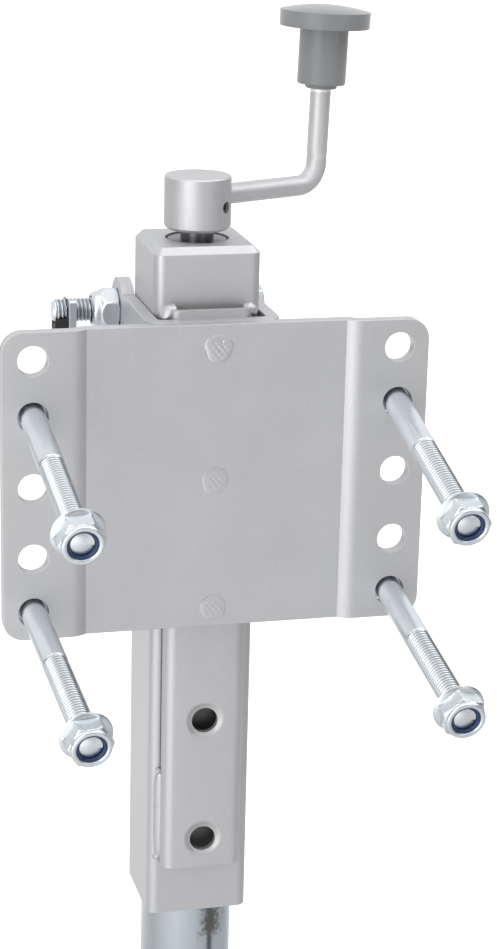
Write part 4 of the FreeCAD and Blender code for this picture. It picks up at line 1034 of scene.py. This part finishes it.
# %% Every finish
PAINT = {"tone": (0.60, 0.60, 0.61, 1), "metallic": 0.8, "rough": 0.46, "grain": 800.0,
         "mottle": 0.12, "bump": 0.16, "worn": (0.78, 0.78, 0.79, 1), "wear": 0.35,
         "scratched": 0.25}
SEAM_SHADE_TOP = 80.0
HOLE_MARGIN = 0.0155
rail_middle, rail_half = (rail_low.z + rail_high.z) / 2, (rail_high.z - rail_low.z) / 2
hole_pitch = (rail_half - HOLE_MARGIN) / 2
seam_shade_middle, seam_shade_half = (SEAM_SHADE_TOP + BEAD_TOP) / 2 * MM, (SEAM_SHADE_TOP - BEAD_TOP) / 2 * MM
seam_face = TUBE_FRONT * MM
silver = finish_of("silver_paint", **PAINT)
# Painted shade: the rail's sides are blackened within 1.3 mm of the tube's front, from the bead's
# top up to 80 mm, and a thin band where the rail's foot meets the tube.
rail_paint = finish_of(
    "rail_paint", **PAINT, lips=(rail_low.z + HOLE_MARGIN, hole_pitch),
    stains_and_painted_light=[((0, seam_face, seam_shade_middle), (0.03, 0.0013, seam_shade_half), 0.0008, 0.0),
          ((0, seam_face, rail_low.z), (0.03, 0.0004, 0.012), 0.0004, 0.0)])
# Painted shade: the tube's front face behind the rail's channel is darkened, within the rail's
# width and height.
tube_paint = finish_of(
    "tube_paint", **PAINT, stain_and_painted_light_colour=(0.12, 0.12, 0.12, 1),
    stains_and_painted_light=[((0, seam_face, rail_middle), (0.0175, 0.001, rail_half - 0.003), 0.001, 0.0)])
# Its groove weight paints shade into the grooves of the bolts' threads.
zinc = finish_of("zinc_plate", (0.74, 0.785, 0.82, 1), 1.0, 0.31, grain=420.0, mottle=0.10,
                 spread=0.12, bump=0.02, worn=(0.9, 0.92, 0.94, 1), wear=0.5, scratched=0.15,
                 edge=0.0004, groove_shade=0.7)
tube_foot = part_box("outer_tube")[0].z
leg_zinc = finish_of("leg_zinc", (0.53, 0.58, 0.625, 1), 0.9, 0.26, grain=160.0, mottle=0.16,
                     spread=0.12, bump=0.03, worn=(0.6, 0.64, 0.67, 1), wear=0.4, scratched=0.6,
                     stretch=(1.0, 1.0, 0.03), stain_and_painted_light_colour=(0.15, 0.15, 0.155, 1),
                     stains_and_painted_light=[((0.0085, 0.033, tube_foot - 0.005), (0.0014, 0.01, 0.008), 0.008, 2.2),
                           ((0.0078, 0.033, tube_foot - 0.03), (0.0004, 0.01, 0.04), 0.0022, 1.2)])
# Painted highlight: a near-white band, 1 mm tall, round the rod just under the knob's collar.
glint_band_middle = tuple(float(at) * MM for at in on_upright(KNOB_FOOT - 2.9))
rod_paint = finish_of(
    "rod_paint", (0.66, 0.66, 0.67, 1), 0.8, 0.53, grain=700.0, mottle=0.12, bump=0.16,
    worn=(0.80, 0.80, 0.81, 1), wear=0.4, scratched=0.3,
    stains_and_painted_light=[(glint_band_middle, (0.006, 0.006, 0.0005), 0.0004, 0.0)], stain_and_painted_light_colour=(0.97, 0.97, 0.97, 1))
# Painted shade: the snap ring in the cap's recess, under the hub, gets a dark zinc tone.
hub_shade_zinc = finish_of("hub_shade_zinc", (0.27, 0.28, 0.29, 1), 1.0, 0.36, grain=600.0,
                         mottle=0.3, bump=0.04)
bare_steel = finish_of("machined_steel", (0.17, 0.17, 0.175, 1), 1.0, 0.30, grain=900.0, mottle=0.2,
                       stretch=(0.05, 0.05, 1.0))
black_steel = finish_of("black_oxide", (0.03, 0.03, 0.032, 1), 0.7, 0.40, grain=900.0, mottle=0.3)
knob_grey = finish_of("knob_plastic", (0.235, 0.24, 0.245, 1), 0.0, 0.38, grain=2600.0, mottle=0.08,
                      bump=0.16, worn=(0.33, 0.33, 0.34, 1), wear=0.3, scratched=0.3, edge=0.0005,
                      sheen=0.8)
nylon_blue = finish_of("blue_nylon", (0.011, 0.036, 0.115, 1), 0.0, 0.26, grain=900.0, mottle=0.15,
                       bump=0.05)
rubber_black = finish_of("black_rubber", (0.018, 0.018, 0.02, 1), 0.0, 0.62, grain=1500.0,
                         mottle=0.3, bump=0.25)

# %% Floor finish
POOL = (-1.45, -1.85, 0.0)


def floor_finish():
    """White studio floor: matt, with a faint cloudiness. The camera sees it shine, so that it stays
    white where the panels no longer reach. The metal sees it far dimmer: a pool of light in front
    on the left, which fades with distance, and a slow rise behind, towards the backdrop."""
    made = bpy.data.materials.new("studio_white")
    made.use_nodes = True
    tree = made.node_tree
    shader = next(node for node in tree.nodes if node.type == "BSDF_PRINCIPLED")
    place = add(tree, "ShaderNodeTexCoord").outputs["Object"]
    cloud = ramp(tree, noise(tree, place, 3.0), 0.3, 0.7, 0.40, 0.43)
    white = add(tree, "ShaderNodeCombineColor", {0: cloud, 1: cloud, 2: cloud})
    away = add(tree, "ShaderNodeVectorMath", {0: place, 1: POOL}, operation="DISTANCE")
    pool = ramp(tree, away.outputs["Value"], 0.5, 2.55, 1.5, 0.10)
    split = add(tree, "ShaderNodeSeparateXYZ", {0: place}).outputs
    sides = mathed(tree, "MINIMUM", ramp(tree, split["X"], 0.2, 1.2, 1.0, 0.1),
                   ramp(tree, split["X"], -1.8, -0.9, 0.1, 1.0))
    behind = mathed(tree, "MULTIPLY", ramp(tree, split["Y"], -0.1, 1.0, 0.05, 0.66), sides)
    dim = mathed(tree, "MAXIMUM", pool, behind)
    seen = add(tree, "ShaderNodeLightPath").outputs["Is Camera Ray"]
    glow = add(tree, "ShaderNodeMix", {"Factor": seen, "A": dim, "B": 1.0}).outputs["Result"]
    glowing = add(tree, "ShaderNodeCombineColor", {0: glow, 1: glow, 2: glow})
    tree.links.new(white.outputs[0], shader.inputs["Base Color"])
    tree.links.new(glowing.outputs[0], shader.inputs["Emission Color"])
    shader.inputs["Emission Strength"].default_value = 1.0
    shader.inputs["Roughness"].default_value = 0.9
    shader.inputs["Specular IOR Level"].default_value = 0.0
    return made


# %% Dress every piece
def wear_finish(target, finish):
    """Gives an object one finish in every material slot."""
    if not target.data.materials:
        target.data.materials.append(finish)
    for index in range(len(target.data.materials)):
        target.data.materials[index] = finish


FINISHES = {
    "painted_steel": silver, "zinc_steel": zinc, "galvanised_steel": leg_zinc,
    "bearing_steel": bare_steel, "black_oxide_steel": black_steel, "grey_plastic": knob_grey,
    "blue_nylon": nylon_blue, "black_rubber": rubber_black,
}
for part in frame["record"]["subparts"]:
    wear_finish(nodes[part["node"]], FINISHES[part["material_slot"]])
DRESSED = (
    (silver, (plate, saddle, cap, hub, welds)),
    (rail_paint, (rail,)),
    (tube_paint, (nodes["outer_tube"],)),
    (rod_paint, (crank_rod,)),
    (zinc, (mount_bolts, mount_nuts, keeper_bolts, keeper_nuts, clip)),
    (hub_shade_zinc, (nodes["snap_ring"],)),
    (leg_zinc, (foot,)),
    (nylon_blue, (nylon_rings,)),
    (rubber_black, (loop,)),
    (knob_grey, (knob, knob_collar)),
    (floor_finish(), (floor,)),
)
for finish, pieces in DRESSED:
    for piece in pieces:
        wear_finish(piece, finish)
    print(finish.name, "on", ", ".join(piece.name for piece in pieces))
